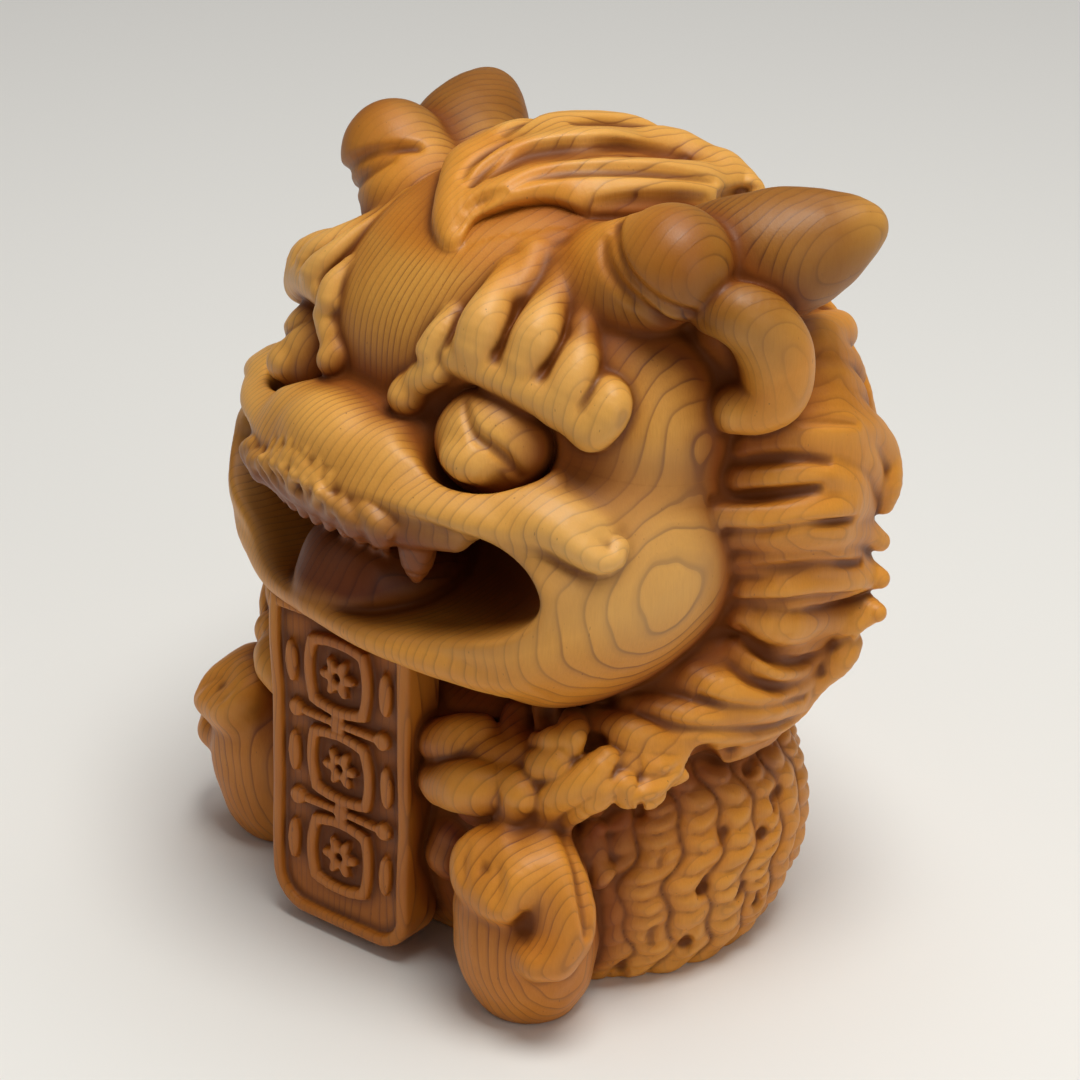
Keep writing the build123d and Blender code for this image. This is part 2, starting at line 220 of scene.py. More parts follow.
# ------------------------------------------------------------------ control rows
# name: points of a swept cut or lock, (x, y, z, radius) in mm
TABLE = {
    'b0': [(8.1, -16, 67.13, 0.8), (8.24, -17.33, 65.72, 1.2), (7.9, -18.07, 64.23, 1.3)],
    'b1': [(10.03, -10.5, 71.09, 0.8), (11.23, -13.09, 69.31, 1.6), (12.18, -15.25, 67.39, 2.2), (12.18, -16.12, 65.66, 2.1)],
    'b2': [(13.63, -8.36, 70.39, 0.8), (15.15, -10.43, 68.9, 1.5), (16.38, -12.72, 67.02, 2), (16.27, -13.93, 64.95, 1.9)],
    'b3': [(18.05, -8.89, 66.79, 0.9), (19.64, -10.57, 65.29, 1.7), (20.16, -12.05, 63.12, 2), (19.49, -12.61, 61.38, 1.7)],
    'b4': [(21.34, -9.35, 63.46, 0.8), (23.02, -9.66, 62.56, 1.7), (23.27, -10.38, 61.37, 2), (22.43, -11.02, 59.89, 1.7)],
    'b5': [(10.46, -17.04, 64.05, 1.2), (13.68, -15.86, 63.58, 1.4), (16.82, -14.3, 62.72, 1.6), (19.92, -12.72, 61.56, 1.7), (22.55, -11.35, 60.01, 1.7)],
    'b6': [(5.63, -18.86, 59.74, 1.1), (7.07, -18.56, 61.24, 1.3), (8.49, -18.04, 62.47, 1.3)],
    'bf1': [(12.46, -3.23, 73.31, 1), (14.97, -5.42, 71.42, 1.1), (16.69, -7.32, 69.48, 1.1), (18.02, -8.79, 67.72, 0.9)],
    'bf2': [(10.39, -8.17, 72.35, 0.8), (11.77, -10.25, 70.98, 0.9), (12.45, -11.66, 69.86, 0.7)],
    'bf3': [(12.82, -6.72, 71.81, 0.8), (14.56, -8.3, 70.47, 0.9), (15.39, -9.39, 69.51, 0.7)],
    'c1': [(16.32, -3.82, 76.25, 0.5), (18.69, -6.31, 75.55, 0.6), (21.58, -7.46, 73.83, 0.65), (24.11, -6.86, 72.05, 0.65), (25.73, -5.05, 70.85, 0.6), (26.3, -2.95, 70.19, 0.4)],
    'c2': [(17.2, -6.22, 75.1, 0.4), (19.01, -7.41, 73.62, 0.6), (21.36, -7.43, 71.88, 0.65), (23.47, -6.11, 70.28, 0.6), (23.9, -2.91, 68.48, 0.45)],
    'cg_a': [(1.73, -7.04, 77.28, 0.25), (1.93, -5.12, 78.13, 0.7), (2.42, -2.94, 78.83, 0.95), (3.53, -0.29, 79.13, 1), (5.01, 3.3, 79.08, 0.85), (4.59, 9.8, 77.4, 0.5), (5.77, 13.22, 76.2, 0.2)],
    'cg_b': [(5.73, -7.22, 77.35, 0.2), (6.16, -5.26, 78.06, 0.7), (7.05, -3.06, 78.47, 1), (8.96, 0.11, 78.59, 1), (10.4, 3.7, 78.13, 0.9), (11.33, 7.8, 77.14, 0.7), (11.57, 11.86, 75.66, 0.25)],
    'cg_c': [(3.67, -10.77, 75.15, 0.3), (4.26, -9.63, 75.96, 0.7), (5.39, -8.21, 76.77, 0.25)],
    'cg_d': [(11.44, -1.81, 76.09, 0.4), (12.44, 0.91, 76.14, 0.7), (13.22, 4.46, 75.77, 0.7), (12.97, 9.59, 74.62, 0.35)],
    'cg_e': [(12.32, 12.29, 74.12, 0.5), (10.17, 16.5, 73.11, 0.6), (10.94, 17.96, 73.45, 0.4)],
    'cg_f': [(5.13, -12.28, 72.5, 0.4), (5.18, -10.16, 73.25, 1.1), (6.14, -8.38, 73.75, 1.5), (7.62, -6.29, 74.25, 1.6), (9.25, -4.44, 74.45, 1.25), (12.43, -3.49, 74.69, 0.4)],
    'cg_g': [(1.56, -8.97, 76.53, 0.2), (0.86, -7.08, 77.43, 0.5), (1.09, -5.18, 78.5, 0.55), (1.89, -2.54, 79.39, 0.2)],
    'cg_h': [(0.01, -8.85, 76.85, 0.2), (-0.98, -7.31, 77.55, 0.4), (-1.24, -5.04, 78.33, 0.4), (-1.02, -2.87, 78.87, 0.2)],
    'cg_i': [(-2.6, -2, 79.3, 0.3), (-3.6, 2.5, 79.95, 0.75), (-4.2, 8, 78.8, 0.9), (-4, 13.5, 76.4, 0.7), (-3.2, 19, 73.8, 0.3)],
    'cg_j': [(0.6, 4, 80.1, 0.3), (0.2, 9.5, 79.15, 0.8), (0.8, 15, 77.85, 0.8), (2, 20, 72.6, 0.3)],
    'cg_k': [(-6.6, 2, 78.5, 0.3), (-8, 6, 77.5, 0.6), (-7.8, 11, 76.3, 0.5), (-6.8, 15, 74.5, 0.3)],
    'cs_1': [(-3.48, -4.7, 75.91, 1.9), (-3.71, -2.29, 76.58, 2.3), (-3.23, 0.31, 77.13, 2.6), (-1.77, 3.98, 77.45, 2.8), (-1.38, 11.1, 76.08, 2.8), (2.44, 14.22, 75.12, 2.5)],
    'cs_2': [(-0.75, -7.44, 75.01, 1.9), (-0.14, -5.59, 75.81, 2.3), (0.57, -3.22, 76.64, 2.5), (1.64, 0.08, 77.3, 2.6), (3.08, 4.93, 77.29, 2.6), (1.85, 13.48, 74.8, 2.6), (5.9, 17.02, 74.04, 2.4)],
    'cs_3': [(1.56, -9.85, 73.79, 1.8), (2.69, -8.87, 74.41, 2), (3.85, -7.46, 75.14, 2.1), (4.92, -5.39, 75.82, 2.2), (6.4, -2.47, 76.35, 2.3), (8.31, 1.92, 76.34, 2.4), (9.11, 8.57, 75.11, 2.5), (7.67, 17.46, 72.73, 2.3), (9.16, 18.2, 72.61, 1.9)],
    'cs_4': [(8.93, -2.1, 75.25, 1.7), (9.92, 0.05, 75.21, 2), (11.15, 4.44, 74.81, 2.1), (10.69, 11.03, 73.31, 2)],
    'cs_5': [(-6.5, -3.61, 75.68, 1.5), (-3.27, -6.72, 75.16, 1.6), (-0.39, -9.44, 74.04, 1.6), (1.71, -11.33, 72.77, 1.5), (3.47, -12.17, 71.99, 1.2), (4.46, -11.09, 72.45, 1.1)],
    'cs_6': [(-3.6, -3.5, 75.4, 2), (-5.2, 1, 76, 2.4), (-6.4, 6.5, 75.4, 2.6), (-6.4, 12, 73.5, 2.4), (-5.6, 17, 70.3, 2), (-4.6, 20.5, 66.8, 1.2)],
    'cs_7': [(-1, 3, 76.5, 2.6), (-1.8, 9, 75.6, 2.7), (-1.6, 15, 72.5, 2.4), (-0.8, 20, 68, 1.8), (-0.2, 23, 63.3, 1)],
    'cs_8': [(2.5, 12, 74.3, 2.4), (3.4, 17, 70.9, 2), (4.4, 20.5, 67, 1)],
    'ear': [(26.4, -0.45, 69.87, 2), (28.2, 0.56, 70.03, 2.7), (29.2, 2.63, 68.37, 3.1), (29.6, 4.27, 65.45, 3.3), (29.2, 4.74, 62.31, 3.1), (28.2, 3.57, 60.69, 2.6), (27, 1.78, 60.12, 2)],
    'earfill': [(24.2, 2.37, 66.84, 2.2), (24.4, 4.28, 64.34, 2.8), (24.4, 4.47, 61.36, 2.8), (24.2, 3.55, 59.54, 2.3)],
    'fg_b00': [(6.15, 19.01, 25, 0.5), (6.92, 20.48, 23, 0.75)],
    'fg_b02': [(7.87, 23.49, 10.5, 0.5), (7.91, 22.99, 8.5, 0.75)],
    'fg_b11': [(11.87, 21.28, 17.5, 0.5), (12.31, 21.53, 15.5, 0.75)],
    'fg_b13': [(11.14, 20.15, 5, 0.5), (10.57, 18.91, 3, 0.75)],
    'fg_b20': [(12.33, 15.77, 25, 0.5), (13.73, 16.92, 23, 0.75)],
    'fg_b22': [(16.71, 20.3, 10.5, 0.5), (16.68, 19.91, 8.5, 0.75)],
    'fg_b31': [(20.81, 17.57, 17.5, 0.5), (21.45, 17.69, 15.5, 0.75)],
    'fg_b33': [(20.31, 17.22, 5, 0.5), (19.6, 16.42, 3, 0.75)],
    'fg_p0': [(27.93, 0.49, 11.75, 0.35), (27.8, 0.28, 10.76, 0.75), (28.14, -0.11, 10.27, 0.4)],
    'fg_p1': [(27.7, 5.6, 9.37, 0.28), (27.86, 5.12, 8.6, 0.6), (27.9, 5, 7.87, 0.32)],
    'fg_p10': [(27.87, 3.02, 17.07, 0.24), (27.76, 2.79, 16.1, 0.52), (27.9, 2.58, 15.46, 0.28)],
    'fg_p11': [(29.98, -9.84, 24.55, 0.28), (24.99, -5.84, 19.92, 0.6), (25.29, -6.19, 19.42, 0.32)],
    'fg_p2': [(27.38, 8.13, 7.18, 0.32), (26.95, 8.21, 5.9, 0.68), (27.06, 8.02, 5.21, 0.36)],
    'fg_p3': [(27.48, -0.81, 5.69, 0.39), (26.59, -0.34, 4.03, 0.83), (26.55, -0.39, 3.23, 0.44)],
    'fg_p4': [(26.78, -4.48, 7.36, 0.32), (26.71, -4.76, 6.42, 0.68), (26.28, -4.47, 5.3, 0.36)],
    'fg_p5': [(24.09, -6.19, 2.76, 0.35), (23.61, -6.11, 1.45, 0.75), (22.85, -5.55, 0.04, 0.4)],
    'fg_p6': [(25.83, 11.72, 16.99, 0.42), (26.89, 10.38, 16.91, 0.9), (26.72, 10.46, 16.02, 0.48)],
    'fg_p7': [(27.78, 8.12, 15.3, 0.35), (27.53, 8.03, 14.19, 0.75), (27.83, 7.67, 13.67, 0.4)],
    'fg_p8': [(25.7, 7.99, 21.49, 0.39), (26.26, 7.14, 21.03, 0.83), (26.63, 6.7, 20.57, 0.44)],
    'fg_p9': [(27.17, -4.37, 15.97, 0.28), (27.25, -4.77, 15.16, 0.6), (27.23, -4.84, 14.4, 0.32)],
    'knob': [(5.59, -19.16, 59.4, 1.7), (5.66, -19.32, 59.17, 1.7)],
    'lid': [(12.59, -17.91, 60.79, 0.2), (14.04, -18.76, 59.83, 0.45), (15.48, -18.93, 58.62, 0.55), (16.93, -18.21, 57.79, 0.6), (17.96, -17.17, 56.43, 0.55), (18.38, -15.87, 54.78, 0.3)],
    'lobe': [(13.64, -19.53, 56.07, 1.5), (14.75, -19.11, 55.87, 1.9), (15.58, -18.38, 55.29, 1.5)],
    'lr': [(-11.04, -19.81, 48.33, 0.8), (-4.21, -21.01, 49.17, 1.1), (0.16, -21.52, 49.84, 1.1), (3.87, -21.18, 49.47, 1.1), (7.52, -20.72, 48.97, 1.2), (11.72, -19.81, 49.19, 1.25), (16.25, -19.26, 50.93, 1.25), (19.97, -17.61, 52.18, 1.2), (23.22, -16.16, 51.64, 1.15), (25.74, -14.71, 50.24, 1), (27, -13.39, 49.19, 0.75), (27.37, -12.09, 49.27, 0.55), (27.08, -11.42, 49.96, 0.35)],
    'lrf': [(10.07, -19.74, 49.86, 1.5), (15.16, -18.44, 51.4, 1.6), (19.02, -16.54, 52.73, 1.6), (22.34, -14.92, 52.26, 1.5), (24.85, -13.43, 50.74, 1.3), (26, -12.13, 49.35, 0.8)],
    'm_A': [(23.93, 10.57, 62.77, 1.8), (23.33, 14.5, 62.89, 1.9), (19.53, 21.24, 61.09, 1.7)],
    'm_B': [(24.25, 11.54, 62.66, 1.4), (24.24, 15.02, 61.67, 1.6), (23.01, 18.89, 59.59, 1.2), (21.92, 21.55, 57.18, 0.7)],
    'm_B2': [(25.76, 10.3, 60.86, 1.5), (25.99, 13.52, 60.19, 1.7), (25.42, 16.99, 58.39, 1.3), (24.51, 19.75, 55.81, 0.7)],
    'm_B3': [(26.84, 8.83, 58.98, 1.5), (27.35, 12.41, 58.41, 1.7), (26.82, 16.06, 56.86, 1.3), (25.4, 19.58, 54.1, 0.7)],
    'm_C': [(26.51, 4.15, 56.42, 1.2), (28.34, 7.64, 56.8, 1.7), (28.83, 12.21, 56.26, 2), (26.78, 18.18, 53.69, 2), (25.81, 21.63, 50.22, 1.8), (26.74, 21.77, 47.81, 1.5), (27.06, 21.65, 45.75, 0.7)],
    'm_C2': [(26.6, 3.78, 55.35, 1), (28.61, 7.51, 55.34, 1.4), (29.17, 12.7, 54.25, 1.8), (28.03, 17.23, 51.08, 1.7), (25.99, 20.86, 46.72, 1.1)],
    'm_D': [(26.97, 2.99, 53.09, 1.2), (29.03, 6.02, 53.46, 1.7), (30.11, 10.07, 52.62, 1.8), (29.56, 14.59, 50.05, 1.5), (26, 20.23, 45, 0.6)],
    'm_D2': [(27.14, 1.09, 50.03, 1.2), (29.13, 4.36, 49.71, 1.8), (30.55, 8.02, 49.78, 2), (30.27, 12.74, 49.15, 1.7), (27.56, 18.39, 46.06, 0.8)],
    'm_D3': [(27.52, 2.24, 47.75, 1), (29.66, 5.88, 47.79, 1.5), (30.53, 10.74, 47.32, 1.7), (27.73, 17.87, 44.16, 1.2), (27.5, 21.18, 42.03, 0.6)],
    'm_E': [(27.74, 3.08, 45.16, 1), (29.64, 6.71, 45.11, 1.3), (29.92, 12.23, 43.92, 1.4), (26.65, 19.22, 40.43, 0.8)],
    'm_F': [(27.78, 3.73, 42.22, 1.2), (29.59, 7.61, 42.06, 1.7), (28.72, 14.27, 40.48, 1.7), (27.43, 19.14, 39.05, 1.2), (28.48, 20.55, 38.64, 0.6)],
    'm_G': [(27.17, 4.23, 39.14, 1.4), (28.37, 7.76, 37.98, 2.2), (26.56, 14.47, 35.65, 2.2), (26.98, 18.29, 35.47, 1.7), (29.39, 19.43, 35.68, 0.6)],
    'm_G2': [(26.72, 5.82, 36.41, 1.2), (27.19, 9.75, 34.07, 1.9), (25.52, 15.72, 32.05, 1.8), (27.94, 16.97, 34.3, 1.1), (28.5, 17.97, 34.88, 0.6)],
    'm_H': [(26.75, 3.74, 35.13, 1.1), (28.24, 6.46, 33.04, 1.6), (25.47, 14.27, 29.31, 1.9), (27.37, 16.46, 30.97, 1.5), (27.84, 17.9, 32.15, 0.7)],
    'm_I': [(26.08, -1.18, 33.58, 1.1), (28.13, 1.35, 32, 1.7), (28.02, 6.39, 29.65, 1.9), (25.8, 13.2, 27.48, 1.4), (27.11, 14.75, 29.09, 0.7)],
    'm_J': [(23.5, -6.5, 31, 1), (25.9, -4.1, 30.4, 1.5), (27.5, -0.6, 29.3, 1.9), (27.1, 5.6, 27.2, 1.9), (26.2, 11, 26.3, 1.5), (24.6, 15.3, 26.8, 0.8)],
    'm_K': [(22, -9.5, 29.8, 0.9), (25.5, -8, 29.4, 1.4), (26.4, -3.6, 27.6, 1.7), (26.2, 2.5, 25.4, 1.7), (25.3, 8.8, 24.3, 1.4), (23.4, 14, 24.8, 0.7)],
    'm_L': [(17.27, -11.03, 29.44, 1), (19.03, -11.42, 28.41, 1.3), (21.77, -12.4, 28.23, 0.8)],
    'mb_00': [(0, 15.78, 72.2, 2.03), (0, 18.45, 70.83, 2.9), (0, 20.98, 68.39, 2.75), (0, 22.76, 66.75, 1.74), (0, 23.68, 66.31, 0.64)],
    'mb_01': [(2.88, 15.4, 72.34, 2.03), (3.73, 17.95, 70.96, 2.9), (4.86, 20.36, 68.63, 2.75), (5.87, 21.92, 66.97, 1.74), (6.41, 22.7, 66.52, 0.64)],
    'mb_02': [(2.13, 20.28, 67.17, 1.97), (2.33, 22.32, 65.31, 2.82), (2.16, 24.09, 62.6, 2.68), (1.79, 25.46, 60.79, 1.69), (1.6, 26.34, 60.26, 0.62)],
    'mb_03': [(6.33, 19.28, 67.53, 1.97), (7.32, 21.11, 65.63, 2.82), (8.59, 22.73, 63.07, 2.68), (10.06, 24.34, 61.69, 1.69), (10.87, 25.21, 61.26, 0.62)],
    'mb_04': [(0, 23.26, 61.48, 1.92), (0, 24.99, 59.59, 2.74), (0, 26.56, 57.02, 2.6), (0, 27.75, 55.15, 1.64), (0, 28.59, 54.48, 0.6)],
    'mb_05': [(5.08, 22.62, 61.58, 1.92), (5.63, 24, 59.51, 2.74), (6.68, 25.73, 57.14, 2.6), (7.72, 26.95, 55.34, 1.64), (8.35, 27.76, 54.68, 0.6)],
    'mb_06': [(10.51, 21.58, 62.68, 1.92), (11.66, 23.52, 60.84, 2.74), (12.24, 25.35, 58.05, 2.6), (12.29, 26.65, 55.9, 1.64), (12.38, 27.44, 55.1, 0.6)],
    'mb_07': [(2.86, 25.12, 56.21, 1.86), (3.2, 26.52, 54.11, 2.66), (3.85, 27.4, 51.33, 2.53), (4.59, 28.09, 49.26, 1.6), (5.02, 28.65, 48.4, 0.59)],
    'mb_08': [(8.92, 24.69, 56.79, 1.86), (9.43, 26.1, 54.54, 2.66), (9.38, 27.25, 51.55, 2.53), (9, 27.99, 49.33, 1.6), (8.94, 28.7, 48.43, 0.59)],
    'mb_09': [(0, 26.65, 50.9, 1.81), (0, 27.64, 48.53, 2.58), (0, 28.17, 45.55, 2.45), (0, 28.56, 43.29, 1.55), (0, 29.09, 42.24, 0.57)],
    'mb_10': [(6.08, 25.89, 50.92, 1.81), (6.24, 26.88, 48.53, 2.58), (5.81, 27.23, 45.57, 2.45), (5.3, 27.63, 43.35, 1.55), (5.13, 28.22, 42.31, 0.57)],
    'mb_11': [(13.29, 25.7, 51.34, 1.81), (14.08, 26.59, 48.61, 2.58), (15.02, 26.91, 45.16, 2.45), (15.96, 27, 42.49, 1.55), (16.55, 27.18, 41.3, 0.57)],
    'mb_12': [(3.08, 26.61, 45.44, 1.75), (3.02, 27.12, 42.84, 2.5), (2.53, 27.19, 39.68, 2.38), (1.95, 27.15, 37.27, 1.5), (1.68, 27.41, 36.1, 0.55)],
    'mb_13': [(9.68, 26.29, 45.24, 1.75), (10.07, 26.77, 42.42, 2.5), (10.52, 26.47, 39.03, 2.38), (11.05, 26.15, 36.39, 1.5), (11.48, 26.29, 35.08, 0.55)],
    'mb_14': [(0, 26.03, 39.91, 1.69), (0, 26.06, 37.06, 2.42), (0, 25.18, 33.91, 2.3), (0, 24.53, 31.44, 1.45), (0, 24.42, 30.22, 0.53)],
    'mb_15': [(5.9, 25.29, 39.85, 1.69), (5.99, 25.15, 37.06, 2.42), (6.19, 24.28, 33.82, 2.3), (6.45, 23.49, 31.34, 1.45), (6.64, 23.29, 30.11, 0.53)],
    'mb_16': [(12.83, 25.02, 38.73, 1.69), (12.43, 24.68, 35.77, 2.42), (11.22, 23.74, 32.58, 2.3), (10.1, 22.98, 30.34, 1.45), (9.75, 22.88, 29.17, 0.53)],
    'mb_17': [(2.67, 23.88, 34.86, 1.64), (2.68, 23.16, 32.03, 2.34), (2.77, 21.43, 29.11, 2.22), (2.91, 20.01, 26.95, 1.4), (2.99, 19.48, 25.91, 0.51)],
    'mb_18': [(8.25, 23.31, 34.07, 1.64), (7.71, 22.43, 31.32, 2.34), (6.45, 20.61, 28.77, 2.22), (5.42, 19.24, 26.95, 1.4), (5.03, 18.77, 26.04, 0.51)],
    'mb_s00': [(12.27, 17.44, 65.37, 1.68), (14.27, 19.23, 64.33, 2.4), (16.38, 20.83, 62.35, 2.28), (18.05, 21.91, 60.79, 1.44), (18.99, 22.51, 60.27, 0.53)],
    'mb_s01': [(14.49, 21.01, 61.04, 1.68), (16.08, 22.39, 59.2, 2.4), (18.06, 23.37, 56.63, 2.28), (19.88, 23.87, 54.66, 1.44), (21, 24.26, 53.92, 0.53)],
    'mb_s02': [(18.13, 22.32, 55.93, 1.68), (19.39, 23.35, 53.53, 2.4), (20.44, 23.86, 50.37, 2.28), (21.44, 24.24, 48, 1.44), (22.13, 24.57, 46.99, 0.53)],
    'mb_s03': [(17.46, 24.08, 49.76, 1.68), (18.3, 24.66, 47.09, 2.4), (19.29, 24.56, 43.76, 2.28), (20.31, 24.26, 41.19, 1.44), (20.97, 24.23, 40.03, 0.53)],
    'mb_s04': [(19.1, 23.2, 43.47, 1.68), (19.38, 23.34, 40.54, 2.4), (19.2, 22.78, 37.18, 2.28), (19.14, 22.27, 34.64, 1.44), (19.27, 22.17, 33.47, 0.53)],
    'mb_s05': [(16.52, 23.11, 38.39, 1.68), (16.45, 22.77, 35.51, 2.4), (16.09, 21.47, 32.37, 2.28), (15.95, 20.34, 30, 1.44), (16.12, 20.02, 28.76, 0.53)],
    'mb_s06': [(16.86, 20.15, 33.15, 1.68), (16, 19.34, 30.52, 2.4), (14.49, 17.8, 27.96, 2.28), (13.37, 16.59, 26.17, 1.44), (13.04, 16.19, 25.23, 0.53)],
    'mg_1': [(27.06, -0.41, 51.9, 0.3), (28.47, 2.35, 51.9, 0.65), (30.77, 5.15, 52.32, 0.65), (32.12, 8.22, 52.52, 0.4)],
    'mg_10': [(28.23, -1.72, 32.35, 0.3), (30.13, 1.02, 31.16, 0.55), (30.44, 5.84, 29.91, 0.5), (28.33, 11.87, 28.21, 0.3)],
    'mg_2': [(27.11, 2.14, 55.05, 0.3), (29.02, 4.05, 55.45, 0.6), (30.69, 6.83, 55.45, 0.5), (31.64, 9.73, 54.66, 0.3)],
    'mg_3': [(28.08, 2.55, 41.13, 0.3), (30.4, 5.08, 41.03, 0.6), (31.45, 9.17, 40.7, 0.6), (29.72, 16.22, 38.65, 0.3)],
    'mg_4': [(27.96, 2.85, 38.19, 0.3), (28.65, 4.64, 35.86, 0.6), (29.76, 7.42, 34.02, 0.6), (28.69, 12.76, 32.41, 0.6), (29.14, 16.44, 33.44, 0.3)],
    'mg_5': [(28.44, 0.51, 48.86, 0.3), (30.7, 3.02, 48.84, 0.5), (32.71, 6.7, 49.32, 0.5), (32.28, 12.83, 48.24, 0.3)],
    'mg_6': [(28.72, 1.99, 44.72, 0.3), (30.96, 5.55, 44.61, 0.6), (31.94, 10.33, 44.08, 0.6), (29.73, 16.7, 41.89, 0.3)],
    'mg_7': [(27.93, 1.81, 35.35, 0.3), (29.65, 3.42, 33.28, 0.6), (29.69, 8.36, 30.94, 0.6), (28.34, 14.07, 29.93, 0.3)],
    'mg_8': [(29.79, 7.65, 58.69, 0.3), (30.66, 10.97, 58.19, 0.5), (30.68, 13.94, 57.08, 0.3)],
    'mg_9': [(25.74, -6.88, 31.4, 0.3), (28.36, -4.16, 30.01, 0.6), (29.87, 0.02, 28.92, 0.6), (29.29, 6.46, 26.85, 0.5), (27.5, 12.84, 25.59, 0.3)],
    'p_a': [(13.31, -16.01, 26.06, 2.2), (11.83, -17.26, 25.58, 2.5), (9.69, -18.03, 24.88, 2.2), (8.24, -18.15, 25.04, 1.7)],
    'p_b': [(17.59, -18.02, 23.26, 2.4), (15.76, -19.22, 22.82, 2.6), (12.29, -18.96, 21.58, 2.4), (7.93, -17.64, 20.69, 1.9)],
    'p_leg': [(14.7, -12.33, 27.87, 1.6), (15.7, -13.44, 26.62, 1.8), (18.26, -14.82, 26.37, 1.2)],
    'packing': [(7.58, -16.43, 21.02, 3), (14.61, -15.75, 23.75, 3.2), (19.43, -13.54, 24.56, 3.3), (23.34, -10.69, 25.62, 3.2), (26.13, -7.43, 25.82, 2.9), (26.89, -4.62, 25.46, 2.4)],
    'q_1': [(19.33, -16.77, 24.29, 1.7), (20.71, -16.65, 23.81, 2), (19.75, -16.81, 21.71, 1.6)],
    'q_2': [(20.02, -13.5, 27.81, 1.2), (21.99, -13.78, 28.98, 1.2)],
    'q_3': [(21.57, -14.79, 26.36, 1.7), (22.76, -14.1, 27.1, 1.8), (23.61, -13.57, 26.68, 1.3)],
    'q_4': [(22.27, -14.98, 22.27, 1.4), (23.33, -14.7, 24.16, 1.7), (24.64, -13.65, 25.48, 1.7), (25.87, -12.09, 27.22, 1.5), (25.95, -11.22, 28.02, 1)],
    'q_5': [(21.21, -11.28, 29.74, 1.3), (23.2, -12.75, 29.4, 1.3), (23.29, -13.01, 28.04, 0.9)],
    'q_6': [(22.81, -13.71, 21.23, 1.1), (24.92, -12.84, 23.43, 1.4), (26.57, -11.63, 25.48, 1.3)],
    'q_7': [(27.61, -10.35, 25.96, 1.1), (28.12, -9.27, 24.77, 1.6), (28.3, -7.24, 24.83, 1.3)],
    'q_8': [(22.88, -10.06, 18.72, 1.2), (23.2, -10.85, 16.75, 1.6), (24.06, -10.25, 14.54, 1.5)],
    'q_9': [(21.34, -11.72, 18.35, 0.9), (23.4, -12.82, 16.44, 1), (25.57, -13.52, 14.47, 0.9), (26.95, -13.77, 10.86, 0.9)],
    'qd_1': [(18.59, -12.43, 29.81, 1.1), (19.82, -12.79, 29.4, 1.3), (19.86, -11.65, 29.91, 0.8)],
    'qd_2': [(23.71, -11.34, 28.54, 0.9), (24.35, -10.91, 28.9, 0.9)],
    'qd_3': [(25.9, -10, 22.5, 1.1), (23.75, -7.6, 18.95, 0.9), (24.65, -7.94, 15.34, 0.9), (24.96, -7.71, 9.87, 1.1), (23.56, -7.58, 4.61, 0.9)],
    'qd_4': [(28.24, -1.83, 25.59, 1.3), (25.16, 2.27, 22.22, 1.5), (28.59, -1.31, 26.23, 1.3)],
    'qd_5': [(28.32, 1.63, 24.94, 1), (28.18, 2.78, 24.62, 1)],
    'qd_6': [(13.57, -14.07, 26.64, 0.8), (15.32, -14.8, 25.81, 0.9), (17.31, -16.06, 24.96, 1)],
    's_00': [(-7.97, -26.04, 53, 0.35), (-6.97, -26.72, 52.06, 0.62), (-6.47, -27.07, 50.77, 0.75), (-6.12, -27.32, 49.67, 0.45)],
    's_01': [(-5.64, -26.57, 53.33, 0.35), (-4.68, -27.2, 52.12, 0.71), (-4.71, -27.56, 50.41, 0.5), (-5.01, -27.4, 48.75, 0.45)],
    's_02': [(-2.85, -27.2, 53.95, 0.35), (-3.09, -27.48, 52.01, 0.56), (-2.19, -27.85, 50.38, 0.58), (-17.59, -17.98, 40.48, 0.45)],
    's_03': [(-0.5, -27.45, 54.33, 0.35), (0.21, -27.77, 52.69, 0.56), (-0.45, -28.03, 50.41, 0.72), (-16.07, -17.57, 40.16, 0.45)],
    's_04': [(1.37, -27.39, 54.08, 0.35), (1.17, -27.71, 52.15, 0.72), (2.01, -27.89, 50.43, 0.45), (-14.31, -17.21, 39.85, 0.45)],
    's_05': [(3.04, -27.2, 53.43, 0.35), (3.64, -27.43, 51.9, 0.61), (3.44, -27.82, 50.01, 0.67), (-12.5, -16.89, 39.57, 0.45)],
    's_06': [(4.66, -27, 52.66, 0.35), (4.89, -27.36, 51.2, 0.53), (5.46, -27.55, 49.74, 0.65), (-1.24, -23.08, 44.58, 0.45)],
    's_07': [(6.52, -26.86, 51.21, 0.35), (6.99, -27.1, 50.26, 0.69), (7.06, -27.09, 49.02, 0.46), (1.21, -22.96, 44.64, 0.45)],
    's_08': [(8.07, -26.39, 50.96, 0.35), (8.59, -26.55, 50.04, 0.67), (8.38, -26.53, 48.73, 0.74), (2.73, -22.42, 44.45, 0.45)],
    's_09': [(9.46, -25.82, 50.73, 0.35), (9.64, -26.08, 49.71, 0.52), (9.9, -25.75, 48.5, 0.56), (4.03, -21.63, 44.12, 0.45)],
    's_10': [(10.76, -25.19, 50.45, 0.35), (11.31, -25.18, 49.57, 0.63), (10.72, -25.19, 48.2, 0.52), (4.79, -20.67, 43.73, 0.45)],
    's_x1': [(0.78, -27.77, 53.06, 0.5), (2.87, -27.65, 52.38, 0.65), (4.01, -27.56, 51.17, 0.45)],
    's_x2': [(-2.48, -27.59, 51.85, 0.4), (-0.65, -27.94, 50.98, 0.6), (0.64, -28.15, 50.09, 0.4)],
    's_x3': [(6.08, -27.44, 50.5, 0.6), (7.65, -27.2, 50.02, 0.9), (7.56, -26.7, 48.45, 0.7)],
    's_x4': [(9.22, -26.31, 50.77, 0.7), (10.4, -26.04, 49.94, 1), (10.14, -25.41, 48.08, 0.8)],
    't_1': [(10.51, -17.06, 14.38, 1.5), (10.02, -17.4, 12.48, 1.7), (10.28, -17.1, 11.37, 1.4)],
